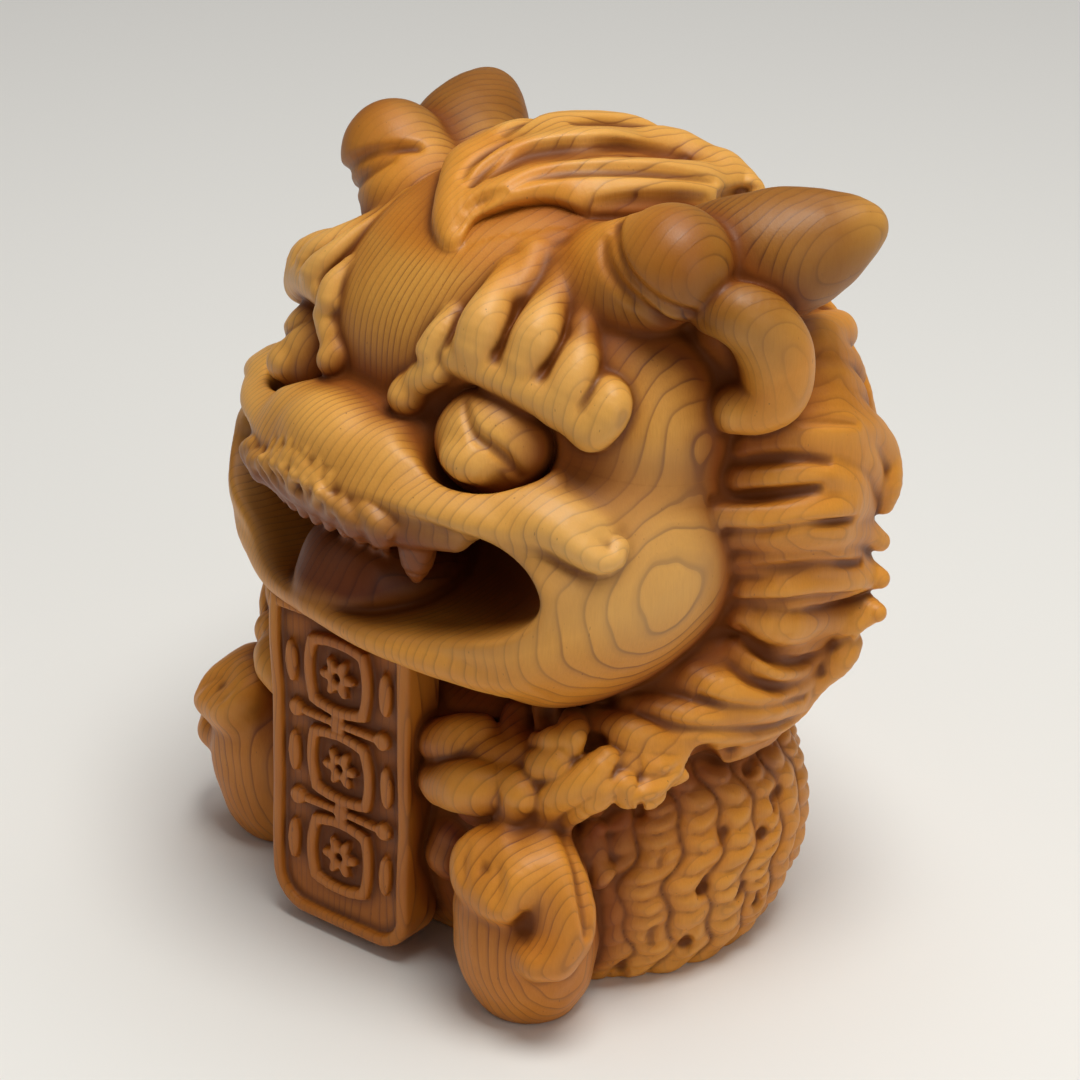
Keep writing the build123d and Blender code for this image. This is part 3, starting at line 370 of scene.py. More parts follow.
    't_2': [(21.04, -18.9, 18.5, 1.9), (19.6, -20.14, 17.59, 2.2), (19.82, -21.22, 16.34, 2.1), (21.17, -21.52, 15.59, 1.6)],
    't_3': [(23.78, -17.47, 18.03, 1.7), (24.2, -19.66, 17.06, 2), (24.15, -20.99, 15.36, 1.7)],
    't_4': [(27.42, -17.95, 9.91, 1.5), (26.79, -19.35, 9.56, 1.4)],
    't_leg': [(21.44, -14.39, 20.39, 1.2), (22.65, -15.29, 18.46, 2), (25.11, -16.24, 17.16, 2.3), (26.79, -16.29, 14.65, 2.3), (27.62, -16.52, 12.21, 2.2), (27.57, -17.6, 10.08, 1.7)],
    'td_1': [(26.28, -20.37, 14.14, 0.4), (25.85, -20.58, 12.7, 0.7), (26.57, -20.89, 11.77, 0.4)],
    'td_2': [(23.48, -21.6, 18.9, 0.3), (24.66, -22.36, 17.82, 0.6), (25.1, -23.12, 16.06, 0.4)],
    'td_3': [(19.64, -22.3, 19.44, 0.3), (20.17, -23.15, 18.27, 0.6), (21.07, -23.69, 16.96, 0.4)],
    'td_4': [(24.62, -14.89, 20.77, 0.3), (26.85, -15.18, 18.93, 0.7), (29.11, -15.7, 15.92, 0.8), (30.17, -15.96, 12.76, 0.6)],
    'tg_1': [(0, 28.6, 3, 0.4), (0.3, 28.8, 10, 0.6), (-0, 28.6, 18, 0.6), (0.2, 27, 25, 0.4)],
    'tg_2': [(1.8, 27.6, 4, 0.4), (2.2, 27.9, 11, 0.5), (1.6, 27.6, 19, 0.4)],
    'tl_1': [(0, 23.2, 1.5, 4), (0, 24, 8, 4.4), (0, 24.2, 15, 4.2), (0, 23.6, 22, 3.4), (0, 22.6, 28, 2), (0, 23.2, 31.5, 0.8)],
    'tl_2': [(2.5, 24.6, 4, 1.6), (5.2, 24.2, 9, 2.2), (6.6, 23.2, 14, 2), (6.4, 22.8, 18, 1.3), (5, 23.4, 20.5, 0.6)],
    'tl_3': [(2, 26.2, 12, 1.4), (3.8, 25.8, 17, 1.9), (4.8, 24.2, 22, 1.7), (4.4, 23.4, 26, 1), (3.2, 23.6, 28.5, 0.5)],
    'ul': [(6.9, -21.09, 53.57, 0.9), (9, -21.02, 52.31, 1), (11.61, -19.76, 51.53, 0.9), (15.69, -18.28, 51.96, 0.8), (19.16, -16.43, 53.05, 0.8), (20.46, -13.84, 54.63, 0.7)],
}

# ------------------------------------------------------------------ the carving
WLO, WHI = (0.0, -31.0, -2.0), (34.0, 30.0, 82.0)

# the part of the half block each carved feature may claim, mm
REACH = {
    'head': (WLO, WHI), 'body': (WLO, (34, 30, 44)), 'left_mane': ((0, -18, 15), (34, 30, 82)),
    'back_mane': ((0, -6, 15), (34, 30, 82)), 'lower_jaw': ((0, -31, 30), (34, 6, 54)),
    'tongue': ((0, -31, 34), (11, -4, 46)), 'upper_lip': ((0, -31, 42), (32, 2, 58)),
    'nose': ((0, -31, 46), (13, -12, 62)), 'left_canine': ((7, -27, 40), (15, -15, 51)),
    'left_eye': ((6, -26, 48), (24, -6, 66)), 'left_brow': ((1, -26, 54), (31, 0, 76)),
    'left_antler': ((6, -12, 60), (34, 24, 82)),
    'left_ear': ((17, -9, 50), (34, 14, 74)), 'left_cheek': ((2, -26, 28), (34, 16, 60)),
    'left_hind_foot': ((9, -31, -2), (34, -4, 24)), 'left_front_paw': ((5, -28, 10), (34, 0, 32)),
    'left_haunch': ((3, -16, -2), (34, 30, 42)), 'tail': ((0, 12, -2), (12, 30, 42)),
}


class Work:
    """The whole surface, and which carved feature owns each part of it."""
    def __init__(s, g):
        s.g = g
        s.f = Field(g, WLO, WHI)
        s.N = {k: Field(g, *v) for k, v in REACH.items()}

    def put(s, node, prim, k=0.0):
        s.f.put(prim, k)
        if node: s.N[node].put(prim, 0.0)

    def cut(s, prim, k=0.0):
        s.f.put(prim, k, 's')


def more(rows, d):
    return [(x, y, z, r + d) for x, y, z, r in rows]


def mouth_void():
    return ell((0, -24, 45.3), (26.3, 16.2, 7.1), (-3, 0, 0))


def masses(w):
    """The plain masses of the block, before any fine cutting."""
    w.put('head', ell((0, 3, 52), (25.6, 22.5, 25.6)))
    w.put('head', ell((0, -3, 62), (21.5, 16.0, 12.6)), 3)
    w.put('head', ell((18, -2.5, 58), (8.5, 9.5, 10)), 3)
    w.put('head', ell((0, -10, 52), (19.5, 12, 7)), 3)
    w.cut(ell((15.5, -20.5, 56.8), (8.2, 5.0, 6.2), (0, 0, 38)), 2.0)
    w.put('left_cheek', ell((15.6, -4.3, 45.2), (13.4, 15.0, 13.0)), 2.5)
    w.put('lower_jaw', ell((0, -8, 42.2), (25.3, 18.2, 7.9), (-2, 0, 0)), 2.0)
    w.put('lower_jaw', ell((0, -12.0, 38.1), (20.5, 12.8, 2.7), (0, 0, 0)), 1.5)
    w.put('left_cheek', ell((17.0, -9.2, 41.6), (10.4, 12.8, 10.9), (0, 0, 12)), 4.0)
    w.put('lower_jaw', tube([(0, -25.6, 38.0, 1.7), (8, -24.4, 37.3, 1.7), (15, -21.6, 36.9, 1.8), (20.2, -18.4, 37.5, 1.9),
                             (23.0, -16.4, 41.2, 1.8), (23.3, -15.9, 45.5, 1.7)]), 2.5)


def wool(w):
    """Braided columns of small scallops, cut in low relief over the flank and round the back."""
    f = w.f
    lo, hi = (3, -14, -2), (34, 30, 40)
    sl, (X, Y, Z) = f.sub(lo, hi)
    at = [s_.start + r[0] for s_, r in zip(sl, f.r)]
    own = np.full(f.a[sl].shape, 9, F)
    oth = np.full(f.a[sl].shape, 9, F)
    for k, n in w.N.items():
        a = [max(at[i], n.r[i][0]) for i in range(3)]
        b = [min(at[i] + own.shape[i], n.r[i][1]) for i in range(3)]
        if min(q - p for p, q in zip(a, b)) <= 0: continue
        to = tuple(slice(p - c, q - c) for p, q, c in zip(a, b, at))
        fr = tuple(slice(p - r[0], q - r[0]) for p, q, r in zip(a, b, n.r))
        t = own if k in ('left_haunch', 'body') else oth
        t[to] = np.minimum(t[to], n.a[fr])
    th = np.arctan2(X, F(3) - Y)
    c = th * F(5.9) + F(0.20) * np.sin(Z * F(0.47) + th * F(2.0)) + F(0.10) * np.sin(Z * F(1.13) + th * F(5.0))
    n_ = np.floor(c)
    u = c - n_ - F(0.5)
    col = np.maximum(np.cos(np.pi * u), F(0))                  # 1 on the crown of a column, 0 in the groove
    rate = F(2 * np.pi) / (F(2.05) + F(0.35) * np.sin(n_ * F(2.4)))
    ph = Z * rate + n_ * F(2.1) + F(0.9) * np.sin(Z * F(0.31) + n_) - F(3.2) * np.abs(u)
    sc = np.abs(np.cos(ph * F(0.5)))                           # scallops, sharp between, drooping to the grooves
    relief = F(0.78) * (col ** F(0.6) - F(0.55)) + F(0.50) * col * (sc - F(0.6))
    m = np.clip((oth - own - F(0.1)) / F(1.1), 0, 1) * np.clip((X - F(4)) / F(2), 0, 1)
    away = np.clip((th - F(0.95)) / F(0.25), 0, 1)              # not on the chest
    f.a[sl] -= F(0.85) * relief * m * away


def sculpt(g, T):
    """T(name) gives the control rows of a cut or a lock (x, y, z, radius in mm)."""
    w = Work(g)
    masses(w)
    # ---- bodies behind the face
    w.put('body', ell((0, 3, 13), (24.5, 22, 19)), 0.6)
    w.put('body', ell((0, -3, 24), (20, 16, 9)), 3)
    w.put('left_haunch', ell((16, 3, 12.0), (11.5, 17.5, 16.5)), 0.6)
    w.put('left_hind_foot', ell((20.2, -15.5, 8.3), (7.1, 7.1, 10.6), (8, 0, 0)), 0.4)
    w.put('left_front_paw', tube([(23, -7, 25.5, 5.0), (18, -11.5, 22.5, 4.8), (13.2, -14.5, 20.5, 4.4)]), 1)
    w.put('left_mane', ell((9.5, 10.5, 47.0), (20.5, 16.5, 22.5)), 0.6)
    w.put('back_mane', ell((0, 12.0, 47.0), (15.0, 15.6, 22.0)), 0.6)
    w.put('left_mane', ell((12.5, 5.5, 32.0), (15.6, 14.0, 8.0)), 1.0)
    w.put('left_mane', ell((12.5, 4.0, 29.0), (14.9, 15.6, 7.4)), 1.5)
    # ---- upper lip and muzzle
    w.put('upper_lip', ell((0, -12.5, 51.2), (24.5, 14.2, 4.8), (-2, 0, 0)), 2.5)
    w.put('upper_lip', ell((0, -17.5, 52.0), (13.5, 8.6, 5.4), (-6, 0, 0)), 2.0)
    w.cut(mouth_void(), 0.9)
    w.put('upper_lip', tube([(0, -26.0, 49.7, 2.1), (6, -25.2, 49.5, 2.1), (11, -23.0, 49.0, 1.9), (15, -20.6, 48.6, 1.2)]), 1.2)
    w.put('upper_lip', tube([(0, -25.2, 52.0, 2.2), (6, -24.4, 51.7, 2.2), (11, -22.6, 51.0, 2.0), (15.5, -20.0, 50.2, 1.6)]), 1.5)
    # tongue
    w.put('tongue', ell((0, -17.6, 39.6), (7.4, 9.4, 3.9), (5, 0, 0)), 0.9)
    w.put('tongue', ell((0, -20.3, 41.0), (6.2, 5.6, 4.4), (8, 0, 0)), 1.2)
    w.cut(tube([(0, -27, 42.8, 0.35), (0, -23, 45.0, 0.45), (0, -18, 45.4, 0.45), (0, -13, 44.0, 0.4)]), 0.8)
    # nose
    w.put('nose', ell((0, -22.2, 54.1), (7.2, 5.1, 4.0), (-8, 0, 0)), 1.8)
    w.put('nose', ell((6.6, -20.8, 53.4), (4.6, 4.4, 3.6), (0, 0, 25)), 1.5)
    w.cut(ell((9.8, -19.8, 58.6), (2.2, 2.6, 3.0), (0, 0, 30)), 2.0)
    # moustache ridge and the fold under the eye
    w.put('upper_lip', tube(T('lrf')), 2.5)
    w.put('upper_lip', tube(more(T('lr'), 0.35)), 0.8)
    w.put('upper_lip', tube(T('ul')), 1.0)
    # eye in a deep trench, with the raised leaf of the pupil
    w.cut(ell((14.3, -16.5, 56.6), (6.15, 4.7, 5.7), (0, 0, 38)), 1.0)
    w.put('left_eye', ell((13.5, -15.0, 56.4), (5.65, 4.8, 5.25), (0, 0, 38)), 0.3)
    w.put('left_eye', tube(T('lobe')), 1.0)
    w.cut(tube(T('lid')), 0.7)
    # brow
    w.put('left_brow', tube(more(T('b5'), 0.3), 0.5), 1.2)
    for k in ('b0', 'b1', 'b2', 'b3', 'b4', 'b6'):
        w.put('left_brow', tube(more(T(k), 0.2), 0.5), 0.75)
    w.put('left_brow', tube(T('knob')), 0.6)
    for k in ('bf1', 'bf2', 'bf3'): w.put('left_brow', tube(T(k)), 1.5)
    # teeth
    w.put('left_canine', tube([(10.8, -21.6, 47.8, 2.0), (10.7, -21.6, 45.4, 1.6), (10.7, -21.6, 43.6, 0.7)]), 0.7)
    for x in (1.0, 2.9, 4.8, 6.7, 8.4):
        y = -26.3 + (x / 11) ** 2 * 3.6
        w.put('upper_lip', ell((x, y, 47.8), (0.9, 0.75, 1.4)), 0.5)
    for k in T.names('s_'): w.put('upper_lip', tube(more(T(k), -0.12)), 0.9)
    # antler: root, ball, rear prong, two collars under the ball
    w.put('left_antler', tube([(16.0, -2.6, 69.5, 6.2), (19.0, -2.2, 71.6, 5.6)]), 0.8)
    w.put('left_antler', ell((22.1, -2.0, 73.6), (5.6, 5.5, 5.3)), 0.8)
    w.put('left_antler', tube([(16, 3, 68.5, 6.4), (22.2, 6.6, 71.6, 6.3), (25.3, 10.2, 73.3, 5.5), (27.5, 13.2, 74.7, 3.7), (28.5, 14.6, 75.3, 2.5)], 0.5), 1.0)
    w.cut(tube(T('c1'), 0.5), 0.9)
    w.cut(tube(T('c2'), 0.5), 0.9)
    # ear
    w.put('left_ear', tube(more(T('ear'), 0.2), 0.5), 0.8)
    w.put('left_ear', tube(more(T('earfill'), 0.1), 0.8), 1.2)
    # mane
    for k in T.names('m_'):
        w.put('left_mane', tube(more(T(k), 0.4), 0.9), 0.9)
    for k in T.names('mb_'):
        w.put('back_mane', tube(T(k)), 0.6)
    w.put('left_mane', ell((9.5, 10.5, 47.0), (20.75, 16.8, 22.75)), 0.8)
    w.put('left_mane', ell((12.5, 5.5, 32.0), (16.4, 14.8, 8.4)), 1.2)
    for k in T.names('mg_'): w.cut(tube(T(k), 0.8), 0.7)
    # tail
    for k in T.names('tl_'): w.put('tail', tube(T(k)), 0.6)
    for k in T.names('tg_'): w.cut(tube(T(k)), 0.5)
    # ---- chest and front paw
    w.put('body', tube(T('packing')), 1.2)
    for k in T.names('p_'): w.put('left_front_paw', tube(T(k)), 0.6)
    for k in T.names('q_'): w.put('body', tube(more(T(k), 0.15)), 0.45)
    for k in T.names('qd_'): w.cut(tube(T(k)), 0.7)
    # ---- hind foot
    for k in T.names('t_'): w.put('left_hind_foot', tube(more(T(k), 0.4), 0.5), 2.0)
    for k in T.names('td_'): w.cut(tube(T(k), 0.7), 0.8)
    # ---- fleece
    w.put('left_haunch', ell((16, 3, 12.0), (12.1, 18.1, 17.1)), 0.6)
    w.put('body', ell((0, 3, 13), (25.1, 22.6, 19.5)), 0.6)
    wool(w)
    for k in T.names('fg_'): w.cut(tube(T(k)), 0.6)
    # flat base
    z = g.ax[2].reshape(1, 1, -1)
    w.f.a = smax(w.f.a, np.broadcast_to(-z, w.f.a.shape), 0.3)
    return w


def plaque(X, Y, Z):
    """Rounded-foot plaque, turned 14 degrees, with a carved field."""
    a = np.radians(14.0)
    u = X * F(np.cos(a)) + (Y + F(21.2)) * F(np.sin(a))
    v = -X * F(np.sin(a)) + (Y + F(21.2)) * F(np.cos(a))
    zc = Z - F(18.6); r = F(4.2)
    qu = np.abs(u) - F(8.8); qz = np.abs(zc) - F(17.4)
    ru = qu + r; rz = qz + r
    d2 = np.minimum(np.maximum(ru, rz), 0) + np.sqrt(np.maximum(ru, 0) ** 2 + np.maximum(rz, 0) ** 2) - r
    d2 = np.where(zc < 0, d2, np.maximum(qu, qz))
    dv = np.abs(v) - F(2.6)
    # carved field on the front: a lowered ground with raised ornament on it
    up_ = np.full(np.broadcast(u, Z).shape, 9.0, F) + 0 * d2
    for zz in (29.3, 19.4, 9.5):
        q = np.maximum(np.abs(u), np.abs(Z - F(zz)))
        rr = np.sqrt(u * u + (Z - F(zz)) ** 2); th = np.arctan2(Z - F(zz), u)
        sq = F(0.6) * q + F(0.4) * rr
        up_ = np.minimum(up_, np.abs(sq - F(3.65)) - F(0.55))               # soft square ring
        up_ = np.minimum(up_, (rr - F(1.75) - F(0.5) * np.cos(6 * th)))      # flower
        up_ = np.maximum(up_, -(rr - F(0.45)))
        for sx in (-1, 1):
            lx = (u - F(sx * 5.9)) / F(0.72); lz = (Z - F(zz)) / F(2.3)
            up_ = np.minimum(up_, (np.sqrt(lx * lx + lz * lz) - 1) * F(0.72))
    for zz in (24.35, 14.45):
        bar = np.maximum(np.abs(Z - F(zz)) - F(0.42), np.abs(u) - F(4.6))
        up_ = np.minimum(up_, bar)
        for uu in (-5.5, 0.0, 5.5):
            up_ = np.minimum(up_, np.sqrt((u - F(uu)) ** 2 + (Z - F(zz)) ** 2) - F(0.95))
    ground = smax(d2 + F(1.35), -up_, 0.3)
    front = -v - F(2.6)
    grv = smax(ground, -(front + F(0.85)), 0.25)
    d = smax(d2, dv, 0.8)
    return smax(d, -grv, 0.35)


def wide(g):
    """The same lattice over the full width of the block."""
    q = Grid.__new__(Grid)
    q.h, q.n = g.h, [2 * g.n[0], g.n[1], g.n[2]]
    q.o = np.array([-(g.n[0] - 0.5) * g.h, g.o[1], g.o[2]])
    q.ax = [(q.o[i] + q.h * np.arange(q.n[i])).astype(F) for i in range(3)]
    return q


def full_width(g, w, T):
    """Mirror the half block, lay the swept crest on the skull and set the plaque in."""
    V = np.concatenate([w.f.a[::-1], w.f.a], 0)
    q = wide(g)
    # crest: a low sheet swept back over the skull, cut with long thin grooves
    cr = Field(q, (-15, -20, 60), (18, 30, 82))
    for k in T.names('cs_'): cr.put(tube(T(k), 0.9), 2.4, m=3.8)
    cs = tuple(slice(a, b) for a, b in cr.r)
    V[cs] = smin(V[cs], cr.a, 0.5)
    gr = Field(q, (-15, -20, 60), (18, 30, 82))
    for k in T.names('cg_'): gr.put(tube(T(k), 0.7), 0.3)
    V[cs] = smax(V[cs], -gr.a, 0.8)
    i0, i1 = np.searchsorted(q.ax[0], -13), np.searchsorted(q.ax[0], 13)
    j1 = np.searchsorted(g.ax[1], -14); k1 = np.searchsorted(g.ax[2], 38)
    d = plaque(q.ax[0][i0:i1].reshape(-1, 1, 1), g.ax[1][:j1].reshape(1, -1, 1), g.ax[2][:k1].reshape(1, 1, -1))
    V[i0:i1, :j1, :k1] = smin(V[i0:i1, :j1, :k1], d, 0.3)
    return V, (cr.a, cs), (d, (i0, i1, 0, j1, 0, k1))


class Rows:
    def names(s, p):
        return sorted(k for k in TABLE if k.startswith(p))

    def __call__(s, k):
        return TABLE[k]


# ------------------------------------------------------------------ one surface, many pieces
g = Grid(H)
work = sculpt(g, Rows())
whole, (crest_d, crest_at), (tab_d, tab_box) = full_width(g, work, Rows())

NODES = list(REACH)
m1 = np.full(work.f.a.shape, 9.0, F)
m2 = m1.copy()
who = np.full(m1.shape, -1, np.int8)
spans = {}
for i, name in enumerate(NODES):
    fd = work.N[name]
    sl = tuple(slice(a - a0, b - a0) for (a, b), (a0, b0) in zip(fd.r, work.f.r))
    spans[name] = sl
    d, a, b = fd.a, m1[sl], m2[sl]
    less = d < a
    m2[sl] = np.where(less, a, np.minimum(b, d))
    m1[sl] = np.where(less, d, a)
    who[sl] = np.where(less, i, who[sl])


def piece_field(name):
    """The shared surface inside the feature's own region, sinking under its
    neighbours outside it."""
    sl = spans[name]
    d = work.N[name].a
    own = who[sl] == NODES.index(name)
    reg = d - np.where(own, m2[sl], m1[sl])
    reg = np.maximum(reg, 0)
    return work.f.a[sl] + F(0.35) * reg + F(2.0) * np.maximum(reg - F(0.4), 0), sl


rough = Noise(11)
knife = Noise(23)


def facets(P, N):
    """Small knife facets: strongest in the fleece and the curls, faint on the face."""
    q = P * F(1 / 1.9)
    a = knife(q[:, 0] + 60, q[:, 1] + 60, q[:, 2] * 0.8 + 60)
    q = P * F(1 / 4.3)
    b = knife(q[:, 0] + 60, q[:, 1] + 60, q[:, 2] + 60)
    low = np.clip((34 - P[:, 2]) / 6, 0, 1) * np.clip(P[:, 2] / 3, 0, 1)
    back = np.clip((P[:, 1] - 4) / 8, 0, 1) * np.clip(P[:, 2] / 3, 0, 1)
    amp = 0.05 + 0.17 * np.maximum(low, 0.6 * back)
    flat = np.clip((np.abs(P[:, 0]) - 9) / 3, 0, 1)
    amp = np.where((P[:, 1] < -17) & (P[:, 2] < 38), amp * flat, amp)
    amp = np.where(P[:, 2] < 0.4, 0, amp)
    return P + N * ((0.65 * a + 0.6 * b) * amp)[:, None]


def hand(P):
    """What hand cutting leaves: the right antler leans in and sits lower, the
    right hind foot stands out, and nothing is quite even."""
    x, y, z = P[:, 0], P[:, 1], P[:, 2]

    def ss(t):
        t = np.clip(t, 0, 1)
        return t * t * (3 - 2 * t)
    ant = ss((z - 64) / 6) * ss((-x - 7) / 7)
    foot = ss((22 - z) / 8) * ss((-x - 9) / 6) * ss((-y - 4) / 8)
    q = P / 8.0
    n = np.stack([rough(q[:, 0] + 40 + 9 * i, q[:, 1] + 40, q[:, 2] + 40) for i in range(3)], 1)
    fade = ss((z - 0.5) / 6)[:, None]
    out = P + n * 0.22 * fade * np.array([1, 1, 0.7])
    out[:, 0] += 2.0 * ant - 1.5 * foot
    out[:, 2] -= 1.2 * ant
    return out


def sample(V, o, P, h=H):
    """Trilinear value of grid V (first voxel at o, step h) at points P."""
    q = (P - o) / h
    i = np.clip(np.floor(q).astype(np.int32), 0, np.array(V.shape) - 2)
    t = np.clip(q - i, 0, 1).astype(F)
    r = 0
    for a in (0, 1):
        for b in (0, 1):
            for c in (0, 1):
                wgt = (t[:, 0] if a else 1 - t[:, 0]) * (t[:, 1] if b else 1 - t[:, 1]) * (t[:, 2] if c else 1 - t[:, 2])
                r = r + wgt * V[i[:, 0] + a, i[:, 1] + b, i[:, 2] + c]
    return r


O_FULL = np.array([-(g.n[0] - 0.5) * H, g.o[1], g.o[2]])


def isosurface(A, o):
    """Closed quads of the zero surface of A, first voxel at o, outward facing."""
    A = np.pad(A, 1, constant_values=2.0)
    A = np.clip(A, -2, 2)
    vg = openvdb.FloatGrid(2.0)
    vg.copyFromArray(np.ascontiguousarray(A))
    P, Q = vg.convertToQuads(isovalue=0.0)
    P = np.asarray(P, float) * H + o - H
    Q = np.asarray(Q, np.int64)
    a, b, c, d = (P[Q[:, i]] for i in range(4))
    vol = np.einsum('ij,ij->i', a, np.cross(b, c)).sum() + np.einsum('ij,ij->i', a, np.cross(c, d)).sum()
    if vol < 0:
        Q = Q[:, ::-1]
    return P, Q


def running_mean(A, r, axis):
    """Mean of 2r+1 neighbours along one axis, edges held."""
    A = np.moveaxis(A, axis, 0)
    pad = np.concatenate([np.repeat(A[:1], r + 1, 0), A, np.repeat(A[-1:], r, 0)], 0)
    c = np.cumsum(pad, 0, dtype=np.float64)
    out = ((c[2 * r + 1:] - c[:-2 * r - 1]) / (2 * r + 1)).astype(F)
    return np.moveaxis(out, 0, axis)


def soft_mean(A, sigma):
    """Three running means, close to a bell-shaped mean of width sigma (voxels)."""
    r = max(1, int(round((math.sqrt(4 * sigma * sigma + 1) - 1) / 2)))
    for _ in range(3):
        for axis in range(3):
            A = running_mean(A, r, axis)
    return A


# how much wood there is around each place: more than half in a hollow, less on an edge
n_ = [s - s % 2 for s in whole.shape]
occ = np.clip(0.5 - whole[:n_[0], :n_[1], :n_[2]] / (2 * H), 0, 1)
occ = occ.reshape(n_[0] // 2, 2, n_[1] // 2, 2, n_[2] // 2, 2).mean((1, 3, 5)).astype(F)
occ = np.pad(occ, 12, mode='constant')
AROUND = [soft_mean(occ, s / (2 * H)) for s in (0.55, 1.5, 3.8)]
O_HALF = O_FULL + 0.5 * H - 12 * 2 * H


def cavities(P, N):
    """(fine, middle, broad): -1 on a sharp edge, 0 on a flat, up to 1 deep in a cut."""
    return [(sample(A, O_HALF, P, 2 * H) - 0.5) * 2 for A in AROUND]


def normals(P, Q):
    N = np.zeros_like(P)
    if Q.shape[1] == 3:
        fn = np.cross(P[Q[:, 1]] - P[Q[:, 0]], P[Q[:, 2]] - P[Q[:, 0]])
    else:
        fn = np.cross(P[Q[:, 2]] - P[Q[:, 0]], P[Q[:, 3]] - P[Q[:, 1]])
    for i in range(Q.shape[1]):
        np.add.at(N, Q[:, i], fn)
    return N / (np.linalg.norm(N, axis=1, keepdims=True) + 1e-12)


def no_crumbs(P, Q, least=160):
    """Leaves out loose crumbs: keeps the connected parts of at least so many faces."""
    lab = np.arange(len(P))
    while True:
        m = lab[Q].min(1)
        new = lab.copy()
        for i in range(4):
            np.minimum.at(new, Q[:, i], m)
        new = new[new]
        if (new == lab).all():
            break
        lab = new
    ids, inv, cnt = np.unique(lab[Q[:, 0]], return_inverse=True, return_counts=True)
    keep = cnt[inv] >= min(least, cnt.max())
    Q = Q[keep]
    used = np.unique(Q)
    remap = np.full(len(P), -1)
    remap[used] = np.arange(len(used))
    return P[used], remap[Q]


def mesh_of(name, co, Q):
    me = bpy.data.meshes.new(name)
    me.vertices.add(len(co))
    me.vertices.foreach_set('co', np.asarray(co, F).ravel())
    me.loops.add(Q.size)
    me.loops.foreach_set('vertex_index', Q.astype(np.int32).ravel())
    me.polygons.add(len(Q))
    me.polygons.foreach_set('loop_start', np.arange(0, Q.size, Q.shape[1], dtype=np.int32))
    me.polygons.foreach_set('loop_total', np.full(len(Q), Q.shape[1], np.int32))
    me.polygons.foreach_set('use_smooth', np.ones(len(Q), bool))
    return me


def lighten(P, Q, most=186000):
    """Collapses the flattest edges until a piece has few enough triangles."""
    if 2 * len(Q) <= most:
        return P, Q
    me = mesh_of('plain', P, Q)
    me.update(calc_edges=True)
    ob = bpy.data.objects.new('plain', me)
    bpy.context.collection.objects.link(ob)
    md = ob.modifiers.new('lighten', 'DECIMATE')
    md.ratio = most / (2.0 * len(Q))
    ev = ob.evaluated_get(bpy.context.evaluated_depsgraph_get())
    em = ev.to_mesh()
    V = np.empty(len(em.vertices) * 3, F)
    em.vertices.foreach_get('co', V)
    em.calc_loop_triangles()
    T = np.empty(len(em.loop_triangles) * 3, np.int32)
    em.loop_triangles.foreach_get('vertices', T)
    ev.to_mesh_clear()
    bpy.data.objects.remove(ob)
    bpy.data.meshes.remove(me)
    return V.reshape(-1, 3).astype(float), T.reshape(-1, 3).astype(np.int64)


def make_object(name, P, Q, mat, nodes):
    N = normals(P, Q)
    fine, middle, broad = cavities(P, N)
    W = hand(facets(P, N))
    # shading normals of the shared surface, so that the cuts between features don't show
    e = 0.6 * H
    G = np.stack([sample(whole, O_FULL, P + d) - sample(whole, O_FULL, P - d) for d in np.eye(3) * e], 1)
    G /= np.linalg.norm(G, axis=1, keepdims=True) + 1e-9
    keep = np.clip(1.2 - np.abs(sample(whole, O_FULL, P)) / 0.2, 0, 1) * np.clip((G * N).sum(1) * 3 - 1, 0, 1)
    G = G * keep[:, None] + N * (1 - keep[:, None])
    G /= np.linalg.norm(G, axis=1, keepdims=True) + 1e-9
    t1 = np.cross(G, np.where(np.abs(G[:, 2:]) < 0.8, np.array([[0, 0, 1.0]]), np.array([[1.0, 0, 0]])))
    t1 /= np.linalg.norm(t1, axis=1, keepdims=True)
    t2 = np.cross(G, t1)
    e = 0.35
    NW = np.cross(hand(facets(P + t1 * e, N)) - W, hand(facets(P + t2 * e, N)) - W)
    NW /= np.linalg.norm(NW, axis=1, keepdims=True) + 1e-12
    me = mesh_of(name, (W + np.array([0, SHIFT_Y, 0])) * 0.001, Q)
    # these hollow and edge measures drive the painted shade and painted highlight of the wood
    for an, val in (('cut', fine), ('fold', middle), ('shade', broad)):
        at = me.attributes.new(an, 'FLOAT', 'POINT')
        at.data.foreach_set('value', np.asarray(val, F))
    me.update(calc_edges=True)
    me.validate()
    me.normals_split_custom_set_from_vertices(NW.astype(F).tolist())
    me.materials.append(mat)
    ob = bpy.data.objects.new(name, me)
    bpy.context.collection.objects.link(ob)
    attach(ob, 'root')
    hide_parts(*nodes)
    return ob


